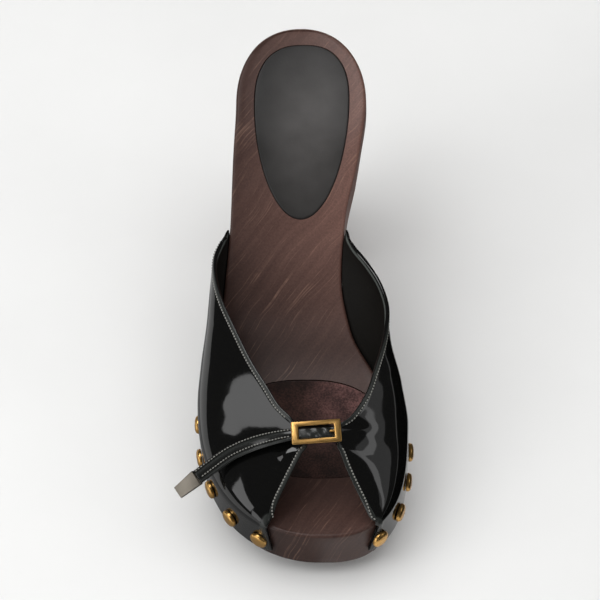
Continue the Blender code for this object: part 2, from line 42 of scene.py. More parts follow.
originAlong = 60.0  # the frame's origin is under the ball of the foot
outerSide, innerSide = -1, 1
gap = 0.3
leatherThick = 1.8
joinWithin, tooThin = 0.00001, 0.000001  # metres, for welding sheets and dropping slivers


# Curves through short tables

def onTable(table, at):  # smooth curve through a table's rows, level before and after them
    x = [row[0] for row in table]
    y = [row[1] for row in table]
    if at <= x[0]:
        return y[0]
    if at >= x[-1]:
        return y[-1]
    i = max(k for k in range(len(x) - 1) if x[k] <= at)

    def slope(k):
        if k == 0 or k == len(x) - 1:
            return 0.0
        before = (y[k] - y[k - 1]) / (x[k] - x[k - 1])
        after = (y[k + 1] - y[k]) / (x[k + 1] - x[k])
        if before * after <= 0:
            return 0.0
        weightBefore = 2 * (x[k + 1] - x[k]) + x[k] - x[k - 1]
        weightAfter = x[k + 1] - x[k] + 2 * (x[k] - x[k - 1])
        return (weightBefore + weightAfter) / (weightBefore / before + weightAfter / after)

    h = x[i + 1] - x[i]
    t = (at - x[i]) / h
    return ((1 + 2 * t) * (1 - t) ** 2 * y[i] + t * (1 - t) ** 2 * h * slope(i)
            + t * t * (3 - 2 * t) * y[i + 1] + t * t * (t - 1) * h * slope(i + 1))


def between(values, at):  # value at a fractional place in a list, through the four nearest
    i = min(int(at), len(values) - 2)
    t = at - i
    b, c = values[i], values[i + 1]
    a = values[i - 1] if i > 0 else 2 * b - c
    d = values[i + 2] if i + 2 < len(values) else 2 * c - b
    return b + t * ((c - a) / 2 + t * (a - 2.5 * b + 2 * c - d / 2 + t * (1.5 * (b - c) + (d - a) / 2)))


def bell(at, middle, width):  # soft hump of height 1
    return math.exp(-((at - middle) / width) ** 2)


# Mesh helpers

def deselectAll():
    if bpy.context.object and bpy.context.object.mode != "OBJECT":
        bpy.ops.object.mode_set(mode="OBJECT")
    bpy.ops.object.select_all(action="DESELECT")


def pick(*pieces):
    deselectAll()
    for piece in pieces:
        piece.select_set(True)
    bpy.context.view_layer.objects.active = pieces[0]


def gridPiece(name, points, marks=None):  # a grid primitive with its corners moved to points[row, column]
    points = np.asarray(points, float)
    rows, columns = points.shape[:2]
    deselectAll()
    bpy.ops.mesh.primitive_grid_add(x_subdivisions=columns - 1, y_subdivisions=rows - 1, size=2)
    piece = bpy.context.object
    piece.name = name
    corners = np.empty(rows * columns * 3, np.float32)
    piece.data.vertices.foreach_get("co", corners)
    corners = corners.reshape(-1, 3)
    column = np.rint((corners[:, 0] + 1) / 2 * (columns - 1)).astype(int)
    row = np.rint((corners[:, 1] + 1) / 2 * (rows - 1)).astype(int)
    placed = (points[row, column] - (0, originAlong, 0)) * mm
    piece.data.vertices.foreach_set("co", placed.astype(np.float32).ravel())
    if marks is not None:
        turned = piece.data.attributes.new("turned", "FLOAT", "POINT")
        turned.data.foreach_set("value", np.asarray(marks, np.float32)[row, column])
    piece.data.update()
    return piece


def boxPiece(name, *size):
    deselectAll()
    bpy.ops.mesh.primitive_cube_add(size=1)
    piece = bpy.context.object
    piece.name = name
    bpy.ops.transform.resize(value=tuple(side * mm for side in size))
    bpy.ops.object.transform_apply(location=True, rotation=True, scale=True)
    return piece


def placedCopy(model, place):
    made = model.copy()
    made.data = model.data.copy()
    made.data.transform(place)
    bpy.context.collection.objects.link(made)
    return made


def smoothed(piece, angle):  # soft shading over edges that turn by less than this many degrees
    pick(piece)
    bpy.ops.object.shade_smooth_by_angle(angle=math.radians(angle))
    return piece


def weld(*pieces):  # one closed piece from sheets that share their edges
    pick(*pieces)
    if len(pieces) > 1:
        bpy.ops.object.join()
    bpy.ops.object.mode_set(mode="EDIT")
    bpy.ops.mesh.select_all(action="SELECT")
    bpy.ops.mesh.remove_doubles(threshold=joinWithin)
    bpy.ops.mesh.dissolve_degenerate(threshold=tooThin)
    bpy.ops.mesh.select_all(action="SELECT")
    bpy.ops.mesh.normals_make_consistent(inside=False)
    bpy.ops.object.mode_set(mode="OBJECT")
    return pieces[0]


def applied(piece, kind, **settings):
    pick(piece)
    made = piece.modifiers.new(kind.lower(), kind)
    for key, value in settings.items():
        setattr(made, key, value)
    bpy.ops.object.modifier_apply(modifier=made.name)


def dressed(piece, node, slot, *materials):
    piece.data.materials.clear()
    for material in materials:
        piece.data.materials.append(material)
    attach(piece, "root")
    if node:
        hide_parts(node)
    return piece


# Material helpers

def linear(hexColour):  # sRGB hex to the linear colour that a socket takes
    parts = [int(hexColour[k:k + 2], 16) / 255 for k in (1, 3, 5)]
    return (*[c / 12.92 if c <= 0.04045 else ((c + 0.055) / 1.055) ** 2.4 for c in parts], 1.0)


def addNode(material, kind, sockets=None, **settings):
    made = material.node_tree.nodes.new("ShaderNode" + kind)
    for key, value in settings.items():
        setattr(made, key, value)
    for key, value in (sockets or {}).items():
        if isinstance(value, bpy.types.NodeSocket):
            material.node_tree.links.new(value, made.inputs[key])
        else:
            made.inputs[key].default_value = value
    return made


def newMaterial(name, **sockets):  # a Principled material with constant values on its own sockets
    material = bpy.data.materials.new(name)
    material.use_nodes = True
    shader = material.node_tree.nodes["Principled BSDF"]
    for key, value in sockets.items():
        shader.inputs[key.replace("_", " ")].default_value = value
    return material


def linked(material, colour, rough=None, normal=None):  # the outputs that the material's shader takes
    shader = material.node_tree.nodes["Principled BSDF"]
    for socket, output in (("Base Color", colour), ("Roughness", rough), ("Normal", normal)):
        if output is not None:
            material.node_tree.links.new(output, shader.inputs[socket])
    return material


def perSize(size):  # texture scale for a feature of that many millimetres
    return 1 / (size * mm)


def patentLeather():
    # black calf under poured lacquer: a wet mirror with soft waves and no grain,
    # rubbed satin grey along the turned edges; on the strap the same grey is painted sheen
    material = newMaterial("patent_leather")
    spot = addNode(material, "TexCoord").outputs["Object"]
    waves = addNode(material, "TexNoise", {"Vector": spot, "Scale": perSize(9), "Detail": 1.5})
    dust = addNode(material, "TexNoise", {"Vector": spot, "Scale": perSize(1.2), "Detail": 2.0})
    tone = addNode(material, "ValToRGB", {"Fac": dust.outputs["Fac"]})
    tone.color_ramp.elements[0].color = linear("#060606")
    tone.color_ramp.elements[1].color = linear("#0c0c0b")
    haze = addNode(material, "MapRange", {"Value": dust.outputs["Fac"], "To Min": 0.03, "To Max": 0.09})
    bump = addNode(material, "Bump", {"Height": waves.outputs["Fac"], "Strength": 0.35,
                                      "Distance": 0.12 * mm})
    turned = addNode(material, "Attribute", attribute_name="turned").outputs["Fac"]
    toneShift = addNode(material, "Mix", {0: turned, 6: tone.outputs["Color"], 7: linear("#242624")},
                   data_type="RGBA")
    rubbedAndSheen = addNode(material, "Mix", {0: turned, 2: haze.outputs["Result"], 3: 0.36})
    return linked(material, toneShift.outputs[2], rubbedAndSheen.outputs[0], bump.outputs["Normal"])


def liningLeather():
    # thin dyed kid inside the upper: matt warm black with a fine grain,
    # greyer where the outer leather folds over it
    material = newMaterial("lining_leather", Specular_IOR_Level=0.2)
    spot = addNode(material, "TexCoord").outputs["Object"]
    grain = addNode(material, "TexVoronoi", {"Vector": spot, "Scale": perSize(0.7)})
    cloud = addNode(material, "TexNoise", {"Vector": spot, "Scale": perSize(14), "Detail": 3.0})
    tone = addNode(material, "ValToRGB", {"Fac": cloud.outputs["Fac"]})
    tone.color_ramp.elements[0].color = linear("#0b0a09")
    tone.color_ramp.elements[1].color = linear("#151310")
    rough = addNode(material, "MapRange", {"Value": cloud.outputs["Fac"], "To Min": 0.55, "To Max": 0.75})
    bump = addNode(material, "Bump", {"Height": grain.outputs["Distance"], "Strength": 0.5,
                                      "Distance": 0.06 * mm})
    turned = addNode(material, "Attribute", attribute_name="turned").outputs["Fac"]
    folded = addNode(material, "Mix", {0: turned, 6: tone.outputs["Color"], 7: linear("#4e524f")},
                     data_type="RGBA")
    return linked(material, folded.outputs[2], rough.outputs["Result"], bump.outputs["Normal"])


def lacqueredWood():
    # dark-stained hardwood under satin lacquer: red-brown, long pale pore streaks, fine specks, a soft sheen
    material = newMaterial("lacquered_wood", Specular_IOR_Level=0.32)
    spot = addNode(material, "TexCoord").outputs["Object"]
    sway = addNode(material, "TexNoise", {"Vector": spot, "Scale": perSize(45), "Detail": 2.0})
    bent = addNode(material, "VectorMath", {0: sway.outputs["Color"], "Scale": 0.012}, operation="SCALE")
    moved = addNode(material, "VectorMath", {0: spot, 1: bent.outputs[0]}, operation="ADD")
    # the streaks run slantwise over the footbed: the pattern is turned to them, drawn out along X and down Z
    turned = addNode(material, "Mapping", {"Vector": moved.outputs[0], "Rotation": woodGrain["turn"],
                                           "Scale": woodGrain["stretch"]}, vector_type="TEXTURE")
    pores = addNode(material, "TexNoise", {"Vector": turned.outputs[0], "Scale": perSize(0.75),
                                           "Detail": 3.0})
    broad = addNode(material, "TexNoise", {"Vector": turned.outputs[0], "Scale": perSize(4), "Detail": 3.0})
    specks = addNode(material, "TexNoise", {"Vector": spot, "Scale": perSize(0.8), "Detail": 2.0})
    base = addNode(material, "ValToRGB", {"Fac": broad.outputs["Fac"]})
    base.color_ramp.elements[0].position = 0.3
    base.color_ramp.elements[0].color = linear("#523a34")
    base.color_ramp.elements[1].position = 0.75
    base.color_ramp.elements[1].color = linear("#62473f")
    # painted shade and sheen: darker towards the outer side and the toe, where the panels shade the wood,
    # and lighter towards the inner side as a painted sheen; also darker towards the back of the heel
    place = addNode(material, "SeparateXYZ", {0: spot})
    sideShadeAndSheen = addNode(material, "MapRange", {"Value": place.outputs["X"], "From Min": -0.036, "From Max": 0.02,
                                           "To Min": 0.44, "To Max": 1.25})
    grit = addNode(material, "MapRange", {"Value": specks.outputs["Fac"], "From Min": 0.3, "From Max": 0.7,
                                          "To Min": 0.85, "To Max": 1.15})
    toeShade = addNode(material, "MapRange", {"Value": place.outputs["Y"], "From Min": 0.036,
                                             "From Max": 0.075, "To Min": 0.46, "To Max": 1.1})
    heelward = addNode(material, "MapRange", {"Value": place.outputs["Y"], "From Min": 0.09,
                                              "From Max": 0.15, "To Min": 1.0, "To Max": 0.75})
    depth = sideShadeAndSheen
    for other in (toeShade, heelward, grit):
        depth = addNode(material, "Math", {0: depth.outputs[0], 1: other.outputs["Result"]},
                        operation="MULTIPLY")
    speckedAndShaded = addNode(material, "VectorMath", {0: base.outputs["Color"], "Scale": depth.outputs[0]},
                      operation="SCALE")
    streak = addNode(material, "MapRange", {"Value": pores.outputs["Fac"], "From Min": 0.58, "From Max": 0.76,
                                            "To Min": 0.0, "To Max": 0.45})
    toneShift = addNode(material, "TexNoise", {"Vector": spot, "Scale": perSize(7), "Detail": 4.0})
    broken = addNode(material, "MapRange", {"Value": toneShift.outputs["Fac"], "From Min": 0.42, "From Max": 0.6,
                                            "To Min": 0.25, "To Max": 1.0})
    share = addNode(material, "Math", {0: streak.outputs["Result"], 1: broken.outputs["Result"]},
                    operation="MULTIPLY")
    mixed = addNode(material, "Mix", {0: share.outputs[0], 6: speckedAndShaded.outputs[0], 7: linear("#9a7766")},
                    data_type="RGBA")
    rough = addNode(material, "MapRange", {"Value": broad.outputs["Fac"], "To Min": 0.38, "To Max": 0.5})
    bump = addNode(material, "Bump", {"Height": pores.outputs["Fac"], "Strength": 0.3, "Distance": 0.08 * mm})
    return linked(material, mixed.outputs[2], rough.outputs["Result"], bump.outputs["Normal"])


def heelLeather():
    # smooth charcoal calf on a thin foam: satin, fine even grain; painted shading makes the middle paler than
    # the rim
    material = newMaterial("heel_leather", Specular_IOR_Level=0.42)
    spot = addNode(material, "TexCoord").outputs["Object"]
    grain = addNode(material, "TexVoronoi", {"Vector": spot, "Scale": perSize(0.9)})
    cloud = addNode(material, "TexNoise", {"Vector": spot, "Scale": perSize(18), "Detail": 4.0})
    tone = addNode(material, "ValToRGB", {"Fac": cloud.outputs["Fac"]})
    tone.color_ramp.elements[0].position = 0.35
    tone.color_ramp.elements[0].color = linear("#2a2827")
    tone.color_ramp.elements[1].position = 0.7
    tone.color_ramp.elements[1].color = linear("#363433")
    # painted shading: the colour is raised in the middle of the pad and lowered towards its rim
    offset = addNode(material, "VectorMath", {0: spot, 1: heelPadShade["middle"]}, operation="SUBTRACT")
    flattened = addNode(material, "VectorMath", {0: offset.outputs[0], 1: heelPadShade["shrink"]},
                        operation="MULTIPLY")
    reach = addNode(material, "VectorMath", {0: flattened.outputs[0]}, operation="LENGTH")
    cushionShade = addNode(material, "MapRange", {"Value": reach.outputs["Value"], "From Min": 0.3, "From Max": 1.15,
                                          "To Min": 1.5, "To Max": 0.35})
    toneShift = addNode(material, "VectorMath", {0: tone.outputs["Color"], "Scale": cushionShade.outputs["Result"]},
                   operation="SCALE")
    rough = addNode(material, "MapRange", {"Value": cloud.outputs["Fac"], "To Min": 0.4, "To Max": 0.52})
    bump = addNode(material, "Bump", {"Height": grain.outputs["Distance"], "Strength": 0.35,
                                      "Distance": 0.05 * mm})
    return linked(material, toneShift.outputs[0], rough.outputs["Result"], bump.outputs["Normal"])


def brownSuede():
    # brushed split leather: no gloss, a short nap that catches light in specks,
    # with a painted sheen that makes it paler at the inner back
    material = newMaterial("brown_suede", Roughness=0.95, Specular_IOR_Level=0.15, Sheen_Weight=0.35,
                           Sheen_Roughness=0.5)
    spot = addNode(material, "TexCoord").outputs["Object"]
    nap = addNode(material, "TexNoise", {"Vector": spot, "Scale": perSize(0.8), "Detail": 4.0})
    cloud = addNode(material, "TexNoise", {"Vector": spot, "Scale": perSize(9), "Detail": 3.0})
    both = addNode(material, "Math", {0: nap.outputs["Fac"], 1: cloud.outputs["Fac"]}, operation="MULTIPLY")
    tone = addNode(material, "ValToRGB", {"Fac": both.outputs[0]})
    tone.color_ramp.elements[0].position = 0.15
    tone.color_ramp.elements[0].color = linear("#221613")
    tone.color_ramp.elements[1].position = 0.4
    tone.color_ramp.elements[1].color = linear("#4c332d")
    # painted sheen: the colour is raised towards the inner back of the pad and held lower elsewhere
    place = addNode(material, "SeparateXYZ", {0: spot})
    inward = addNode(material, "MapRange", {"Value": place.outputs["X"], "From Min": -0.004,
                                            "From Max": 0.02})
    backward = addNode(material, "MapRange", {"Value": place.outputs["Y"], "From Min": -0.015,
                                              "From Max": 0.012})
    paintedSheen = addNode(material, "Math", {0: inward.outputs["Result"], 1: backward.outputs["Result"]},
                    operation="MULTIPLY")
    pale = addNode(material, "Mix", {0: paintedSheen.outputs[0], 6: suedeSheenPaint["upright"], 7: suedeSheenPaint["paintedSheen"]},
                   data_type="RGBA")
    napWithSheenPaint = addNode(material, "VectorMath", {0: tone.outputs["Color"], 1: pale.outputs[2]},
                      operation="MULTIPLY")
    bump = addNode(material, "Bump", {"Height": nap.outputs["Fac"], "Strength": 0.8, "Distance": 0.15 * mm})
    return linked(material, napWithSheenPaint.outputs[0], normal=bump.outputs["Normal"])


def satinGold():
    # gold-plated brass, tumbled: warm, softly blurred mirror with faint brushing
    material = newMaterial("satin_gold", Metallic=1.0)
    spot = addNode(material, "TexCoord").outputs["Object"]
    cloud = addNode(material, "TexNoise", {"Vector": spot, "Scale": perSize(2.5), "Detail": 4.0})
    tone = addNode(material, "ValToRGB", {"Fac": cloud.outputs["Fac"]})
    tone.color_ramp.elements[0].color = linear("#cd9f5c")
    tone.color_ramp.elements[1].color = linear("#e0b26c")
    rough = addNode(material, "MapRange", {"Value": cloud.outputs["Fac"], "To Min": 0.28, "To Max": 0.37})
    bump = addNode(material, "Bump", {"Height": cloud.outputs["Fac"], "Strength": 0.1, "Distance": 0.02 * mm})
    return linked(material, tone.outputs["Color"], rough.outputs["Result"], bump.outputs["Normal"])


def satinNickel():
    # nickel-plated steel end cap: pale, slightly warm, blurred mirror
    material = newMaterial("satin_nickel", Metallic=1.0)
    spot = addNode(material, "TexCoord").outputs["Object"]
    cloud = addNode(material, "TexNoise", {"Vector": spot, "Scale": perSize(2.0), "Detail": 4.0})
    tone = addNode(material, "ValToRGB", {"Fac": cloud.outputs["Fac"]})
    tone.color_ramp.elements[0].color = linear("#777168")
    tone.color_ramp.elements[1].color = linear("#8a847a")
    rough = addNode(material, "MapRange", {"Value": cloud.outputs["Fac"], "To Min": 0.34, "To Max": 0.44})
    return linked(material, tone.outputs["Color"], rough.outputs["Result"])


def sewingThread():
    # waxed grey polyester, partly lightened as a painted highlight: each stitch is a small rounded glint
    material = newMaterial("sewing_thread", Coat_Weight=0.4, Coat_Roughness=0.2)
    spot = addNode(material, "TexCoord").outputs["Object"]
    twist = addNode(material, "TexWave", {"Vector": spot, "Scale": perSize(0.5), "Distortion": 1.0})
    tone = addNode(material, "ValToRGB", {"Fac": twist.outputs["Fac"]})
    tone.color_ramp.elements[0].color = linear("#5c5b56")
    tone.color_ramp.elements[1].color = linear("#94938d")
    rough = addNode(material, "MapRange", {"Value": twist.outputs["Fac"], "To Min": 0.3, "To Max": 0.45})
    return linked(material, tone.outputs["Color"], rough.outputs["Result"])


def paperFloor():
    # matt white studio paper with a barely seen tooth
    material = newMaterial("studio_paper", Roughness=0.9, Specular_IOR_Level=0.1)
    spot = addNode(material, "TexCoord").outputs["Object"]
    tooth = addNode(material, "TexNoise", {"Vector": spot, "Scale": perSize(60), "Detail": 3.0})
    tone = addNode(material, "ValToRGB", {"Fac": tooth.outputs["Fac"]})
    tone.color_ramp.elements[0].color = linear("#e4e4e3")
    tone.color_ramp.elements[1].color = linear("#eaeae9")
    return linked(material, tone.outputs["Color"])


def studioCard(name, darkest, lightest):
    # flocked board: no gloss, with a barely seen nap
    material = newMaterial(name, Roughness=1.0, Specular_IOR_Level=0.0)
    spot = addNode(material, "TexCoord").outputs["Object"]
    nap = addNode(material, "TexNoise", {"Vector": spot, "Scale": perSize(3)})
    tone = addNode(material, "ValToRGB", {"Fac": nap.outputs["Fac"]})
    tone.color_ramp.elements[0].color = linear(darkest)
    tone.color_ramp.elements[1].color = linear(lightest)
    return linked(material, tone.outputs["Color"])


# Camera, lights and floor

studio = dict(
    cameraPlace=(0.0493, -0.7448, 1.1427),  # metres
    lookDown=53.0,  # degrees below level
    photoFocal=1964.4,  # pixels, of the whole photo
    aimPixel=(221, 330),  # middle of the one shoe in the photo
    framePixels=390,  # width of the photo that the one shoe's frame covers
    photoMiddle=300,
    sensorWidth=36.0,
    floorSize=8,
    floorDrop=0.0002,
    cardLift=0.001,
    world="#4a4a4a",
    target=(0.0, 0.0, 0.05),
    # cards on the floor beside the shoe, seen in the gloss alone, as painted shade on the mirrored floor:
    # name, middle, size, darkest and lightest tone
    cards=[
        ("black_card", (0.41, 0.0), (0.7, 1.0), "#020202", "#070707"),
        ("grey_card", (-0.045, -0.03), (0.1, 0.26), "#8a8a8a", "#949494"),
    ],
)
# azimuth 0 is in front of the toe, 90 on the inner side; radiance 1 is paper white
lightColumns = ("name", "azimuth", "elevation", "distance", "wide", "high", "roll", "radiance", "on")
studioLights = [
    ("left_box", -69.0, 24.5, 1.1, 0.43, 0.50, 0.0, 2.4, "both"),
    ("front_box", -42.0, 13.0, 1.1, 0.52, 0.50, 0.0, 2.0, "both"),
    ("right_box", 85.0, 26.0, 1.2, 0.64, 0.50, 0.0, 0.55, "both"),
    ("right_core", 81.5, 29.0, 1.1, 0.16, 0.47, -35.0, 1.3, "both"),
    ("top_box", -97.0, 71.0, 1.5, 0.75, 0.65, 0.0, 5.0, "gloss"),
    ("left_key", -85.0, 54.0, 1.6, 1.6, 1.4, 0.0, 1.75, "matt"),
    ("right_fill", 95.0, 50.0, 1.7, 1.6, 1.4, 0.0, 0.7, "matt"),
    ("front_fill", 5.0, 35.0, 2.0, 1.8, 1.0, 0.0, 0.9, "matt"),
    ("wide_fill", 180.0, 74.0, 2.2, 3.0, 3.0, 0.0, 1.45, "matt"),
]


def setStudio():
    half = studio["photoMiddle"]
    level = Matrix.Rotation(math.radians(90 - studio["lookDown"]), 3, "X").to_quaternion()
    u, v = studio["aimPixel"]
    aim = Vector((u - half, half - v, -studio["photoFocal"]))
    swing = Vector((0, 0, -1)).rotation_difference(aim)
    bpy.ops.object.camera_add(location=studio["cameraPlace"])
    camera = bpy.context.object
    camera.rotation_euler = (level @ swing).to_euler()
    camera.data.sensor_width = studio["sensorWidth"]
    camera.data.lens = studio["photoFocal"] / studio["framePixels"] * camera.data.sensor_width
    bpy.context.scene.camera = camera
    for row in studioLights:
        light = dict(zip(lightColumns, row))
        turn, rise = math.radians(light["azimuth"]), math.radians(light["elevation"])
        flat = math.cos(rise)
        towards = Vector((math.sin(turn) * flat, -math.cos(turn) * flat, math.sin(rise)))
        stand = Vector(studio["target"]) + towards * light["distance"]
        bpy.ops.object.light_add(type="AREA", location=stand)
        lamp = bpy.context.object
        lamp.name = light["name"]
        roll = Matrix.Rotation(math.radians(light["roll"]), 3, "Z").to_quaternion()
        lamp.rotation_euler = (towards.to_track_quat("Z", "Y") @ roll).to_euler()
        lamp.data.shape = "RECTANGLE"
        lamp.data.size = light["wide"]
        lamp.data.size_y = light["high"]
        lamp.data.energy = light["radiance"] * math.pi * light["wide"] * light["high"]
        lamp.visible_camera = False
        lamp.visible_glossy = light["on"] != "matt"
        lamp.visible_diffuse = light["on"] != "gloss"
    world = bpy.data.worlds.new("studio")
    bpy.context.scene.world = world
    world.use_nodes = True
    world.node_tree.nodes["Background"].inputs["Color"].default_value = linear(studio["world"])
    bpy.context.scene.view_settings.view_transform = "Standard"
    deselectAll()
    bpy.ops.mesh.primitive_plane_add(size=studio["floorSize"], location=(0, 0, -studio["floorDrop"]))
    floor = bpy.context.object
    floor.name = "floor"
    floor.data.materials.append(paperFloor())
    for name, middle, size, darkest, lightest in studio["cards"]:
        bpy.ops.mesh.primitive_plane_add(size=1)
        card = bpy.context.object
        card.name = name
        card.scale = (*size, 1)
        card.location = (*middle, studio["cardLift"])
        card.data.materials.append(studioCard(name, darkest, lightest))
        for ray in ("camera", "diffuse", "shadow", "transmission"):
            setattr(card, "visible_" + ray, False)
    print("studio set")


setStudio()

# Wooden sole

sole = dict(
    length=220.0,
    toeAcross=5.5,
    backAcross=-5.0,
    toeSide={outerSide: (66.0, -47.6, 2.1), innerSide: (55.0, 41.4, 2.7)},  # along, across, roundness
    heelSide={outerSide: (185.0, -33.9, 2.1), innerSide: (185.0, 24.5, 2.0)},
    waist={  # along, across
        outerSide: [(66, -47.6), (80, -46.2), (100, -42.0), (120, -38.9), (140, -36.4), (162, -35.2),
                    (185, -33.9)],
        innerSide: [(55, 41.4), (70, 37.6), (86, 27.6), (102, 17.8), (122, 13.4), (142, 15.2), (164, 21.2),
                    (185, 24.5)],
    },
    footbed=[(0, 31), (25, 28.8), (55, 28), (80, 31.5), (105, 43), (130, 62), (155, 83), (175, 97),
             (198, 107), (220, 112)],  # along, height of the rim
    dish=[(0, 0.2), (30, 0.9), (60, 1.4), (100, 0.8), (140, 0.6), (185, 2.2), (212, 1.4), (220, 0.6)],
    toeSpring=10.5,
    treadStart=34.0,
    breastTop=162.5,
    heelFront=167.5,
    underside=[(86, 0), (93, 3), (103, 14), (115, 28.5), (130, 44), (145, 57), (154, 62.5), (159, 62.5),
               (162.5, 57)],
    archFrom=112.0,
    wallFoot=[(0, 10.5), (40, 11.0), (86, 11.0), (96, 16.5), (110, 32.5), (130, 50), (150, 67), (165, 82),
              (178, 91), (220, 105)],
    undercut=[(0, 7.5), (40, 9.0), (86, 9.0), (115, 6.0), (150, 5.0), (160, 7.0), (168, 12.5), (220, 12.0)],
    heelBlend=[(156, 0), (168, 1)],
    rimRound=1.4,
    rimLoops=6,
    wallLoops=5,
    underLoops=8,
    bedColumns=33,
    # rows of corners: first, last and count, in degrees round the toe and the back of the heel
    toeTurns=(3.0, 62, 26),
    bodyRows=(32.0, 154.0, 62),
    breastRows=(156.0, 158.0, 160.0),
    breastFall=(164.2, 165.8),
    heelRows=(169.5, 184.0, 8),
    backTurns=(2, 86.5, 24),
    recessDepth=2.0,
    smoothAngle=40,
)
woodGrain = dict(turn=(math.radians(20), 0.0, math.radians(57)), stretch=(45.0, 1.0, 300.0))


def rimHeight(along):
    first, second, last = sole["footbed"][0], sole["footbed"][1], sole["footbed"][-1]
    if along < first[0]:
        return first[1] + (along - first[0]) * (second[1] - first[1]) / (second[0] - first[0])
    return onTable(sole["footbed"], min(along, last[0]))


def sideAcross(along, side):
    toeAlong, toeAcross, toeRound = sole["toeSide"][side]
    heelAlong, heelAcross, heelRound = sole["heelSide"][side]
    if along < toeAlong:
        share = (1 - (1 - along / toeAlong) ** toeRound) ** (1 / toeRound)
        return sole["toeAcross"] + (toeAcross - sole["toeAcross"]) * share
    if along > heelAlong:
        part = (along - heelAlong) / (sole["length"] - heelAlong)
        share = (1 - part ** heelRound) ** (1 / heelRound)
        return sole["backAcross"] + (heelAcross - sole["backAcross"]) * share
    return onTable(sole["waist"][side], along)


def outward(along, side):  # unit vector out of the outline in plan
    step, short = 0.05, 0.01  # to either side, and short of the ends
    low = max(along - step, short)
    high = min(along + step, sole["length"] - short)
    run = np.array([sideAcross(high, side) - sideAcross(low, side), high - low])
    run /= np.linalg.norm(run)
    return np.array([run[1], -run[0]]) * side


def bedHeight(across, along):
    short = 0.15  # the outline has no width at its ends
    near = min(max(along, short), sole["length"] - short)
    left, right = sideAcross(near, outerSide), sideAcross(near, innerSide)
    off = (across - (left + right) / 2) / ((right - left) / 2)
    return rimHeight(along) - onTable(sole["dish"], along) * max(0.0, 1 - off * off)


def underHeight(along):
    if along < sole["treadStart"]:
        return sole["toeSpring"] * (1 - along / sole["treadStart"]) ** 2
    if along > sole["heelFront"]:
        return 0.0
    if along > sole["breastTop"]:
        share = (along - sole["breastTop"]) / (sole["heelFront"] - sole["breastTop"])
        return sole["underside"][-1][1] * (1 - share)
    return onTable(sole["underside"], along)


def soleRows():
    toeAlong = sole["toeSide"][innerSide][0]
    heelAlong = sole["heelSide"][outerSide][0]
    toe = [toeAlong * (1 - math.cos(a)) for a in np.radians(np.linspace(*sole["toeTurns"]))]
    body = list(np.linspace(*sole["bodyRows"]))
    breast = [*sole["breastRows"], sole["breastTop"], *sole["breastFall"], sole["heelFront"]]
    heel = list(np.linspace(*sole["heelRows"]))
    backTurns = np.radians(np.linspace(*sole["backTurns"]))
    back = [heelAlong + (sole["length"] - heelAlong) * math.sin(a) for a in backTurns]
    return toe + body + breast + heel + back


def soleLevel(part, along, side):  # corner on the block's side; part is rim, wall or under and a share of it
    def roundPoint(inset):
        out = outward(along, side)
        return np.array([sideAcross(along, side) - out[0] * inset, along - out[1] * inset, 0.0])

    def squarePoint(inset):
        return np.array([sideAcross(along, side) - side * inset, along, 0.0])

    kind, share = part
    rim = rimHeight(along)
    foot = onTable(sole["wallFoot"], along)
    turn = share * math.pi / 2
    if kind == "rim":
        spot = roundPoint(sole["rimRound"] * (1 - math.sin(turn)))
        spot[2] = rim - sole["rimRound"] * (1 - math.cos(turn))
        return spot
    if kind == "wall":
        spot = roundPoint(0.0)
        top = rim - sole["rimRound"]
        spot[2] = top + (foot - top) * share
        return spot
    heel = onTable(sole["heelBlend"], along)
    cut = onTable(sole["undercut"], along)
    insetPoint = squarePoint if sole["archFrom"] < along < sole["heelSide"][side][0] else roundPoint
    spot = insetPoint(cut * ((1 - heel) * (1 - math.cos(turn)) + heel * share))
    drop = (1 - heel) * math.sin(turn) + heel * share
    spot[2] = foot + (underHeight(insetPoint(cut)[1]) - foot) * drop
    return spot


def makeSole():
    rows = soleRows()
    last = len(rows) - 1
    columns = sole["bedColumns"]
    parts = [("rim", k / sole["rimLoops"]) for k in range(sole["rimLoops"] + 1)]
    parts += [("wall", k / sole["wallLoops"]) for k in range(1, sole["wallLoops"] + 1)]
    parts += [("under", k / sole["underLoops"]) for k in range(1, sole["underLoops"] + 1)]
    sides = np.array([[[soleLevel(part, along, side) for side in (outerSide, innerSide)] for along in rows]
                      for part in parts])  # part, row, side, axis
    shares = np.linspace(0, 1, columns)[:, None]

    def across(level, row):  # straight row of corners from the outer to the inner side
        return sides[level, row, 0] + (sides[level, row, 1] - sides[level, row, 0]) * shares

    ring = []
    for level in range(len(parts)):
        loop = [sides[level, row, 0] for row in range(last)] + list(across(level, last))
        loop += [sides[level, row, 1] for row in range(last - 1, 0, -1)] + list(across(level, 0)[::-1])
        ring.append(loop)
    wall = gridPiece("sole_wall", ring)
    caps = []
    for level, height in ((0, bedHeight), (len(parts) - 1, lambda x, y: underHeight(y))):
        grid = np.array([across(level, row) for row in range(last + 1)])
        for row in range(1, last):
            for column in range(1, columns - 1):
                grid[row, column, 2] = height(*grid[row, column, :2])
        caps.append(gridPiece("sole_cap", grid))
    block = weld(wall, *caps)
    block.name = "wooden_sole_carved"
    return block


# Inlaid pads

heelPad = dict(back=211.5, front=142.0, widest=185.0, halfWidth=21.2, backAcross=-4.2, frontAcross=-4.8,
               backRound=2.4, frontRound=2.0, proud=0.5, swell=0.5, edgeRound=0.6)
ballPad = dict(back=82.2, front=32.6, widest=57.0, halfWidth=32.5, backAcross=-3.0, frontAcross=6.0,
               backRound=2.6, frontRound=2.6, proud=-0.2, swell=0.3, edgeRound=0.35)
padRings = dict(bottom=8, edge=6, crown=34, crownFrom=0.97, crownPower=4, endPull=0.85, smoothAngle=50)
# middle and spread of the heel pad's painted shading
heelPadShade = dict(middle=(0.0, 0.114, 0.0), shrink=(1 / 0.022, 1 / 0.038, 0.0))  # metres
# painted sheen on the ball pad: colour factors for the rest of the pad and for its paler inner back
suedeSheenPaint = dict(upright=(0.72, 0.72, 0.72, 1.0), paintedSheen=(3.3, 3.5, 4.1, 1.0))  # times the colour


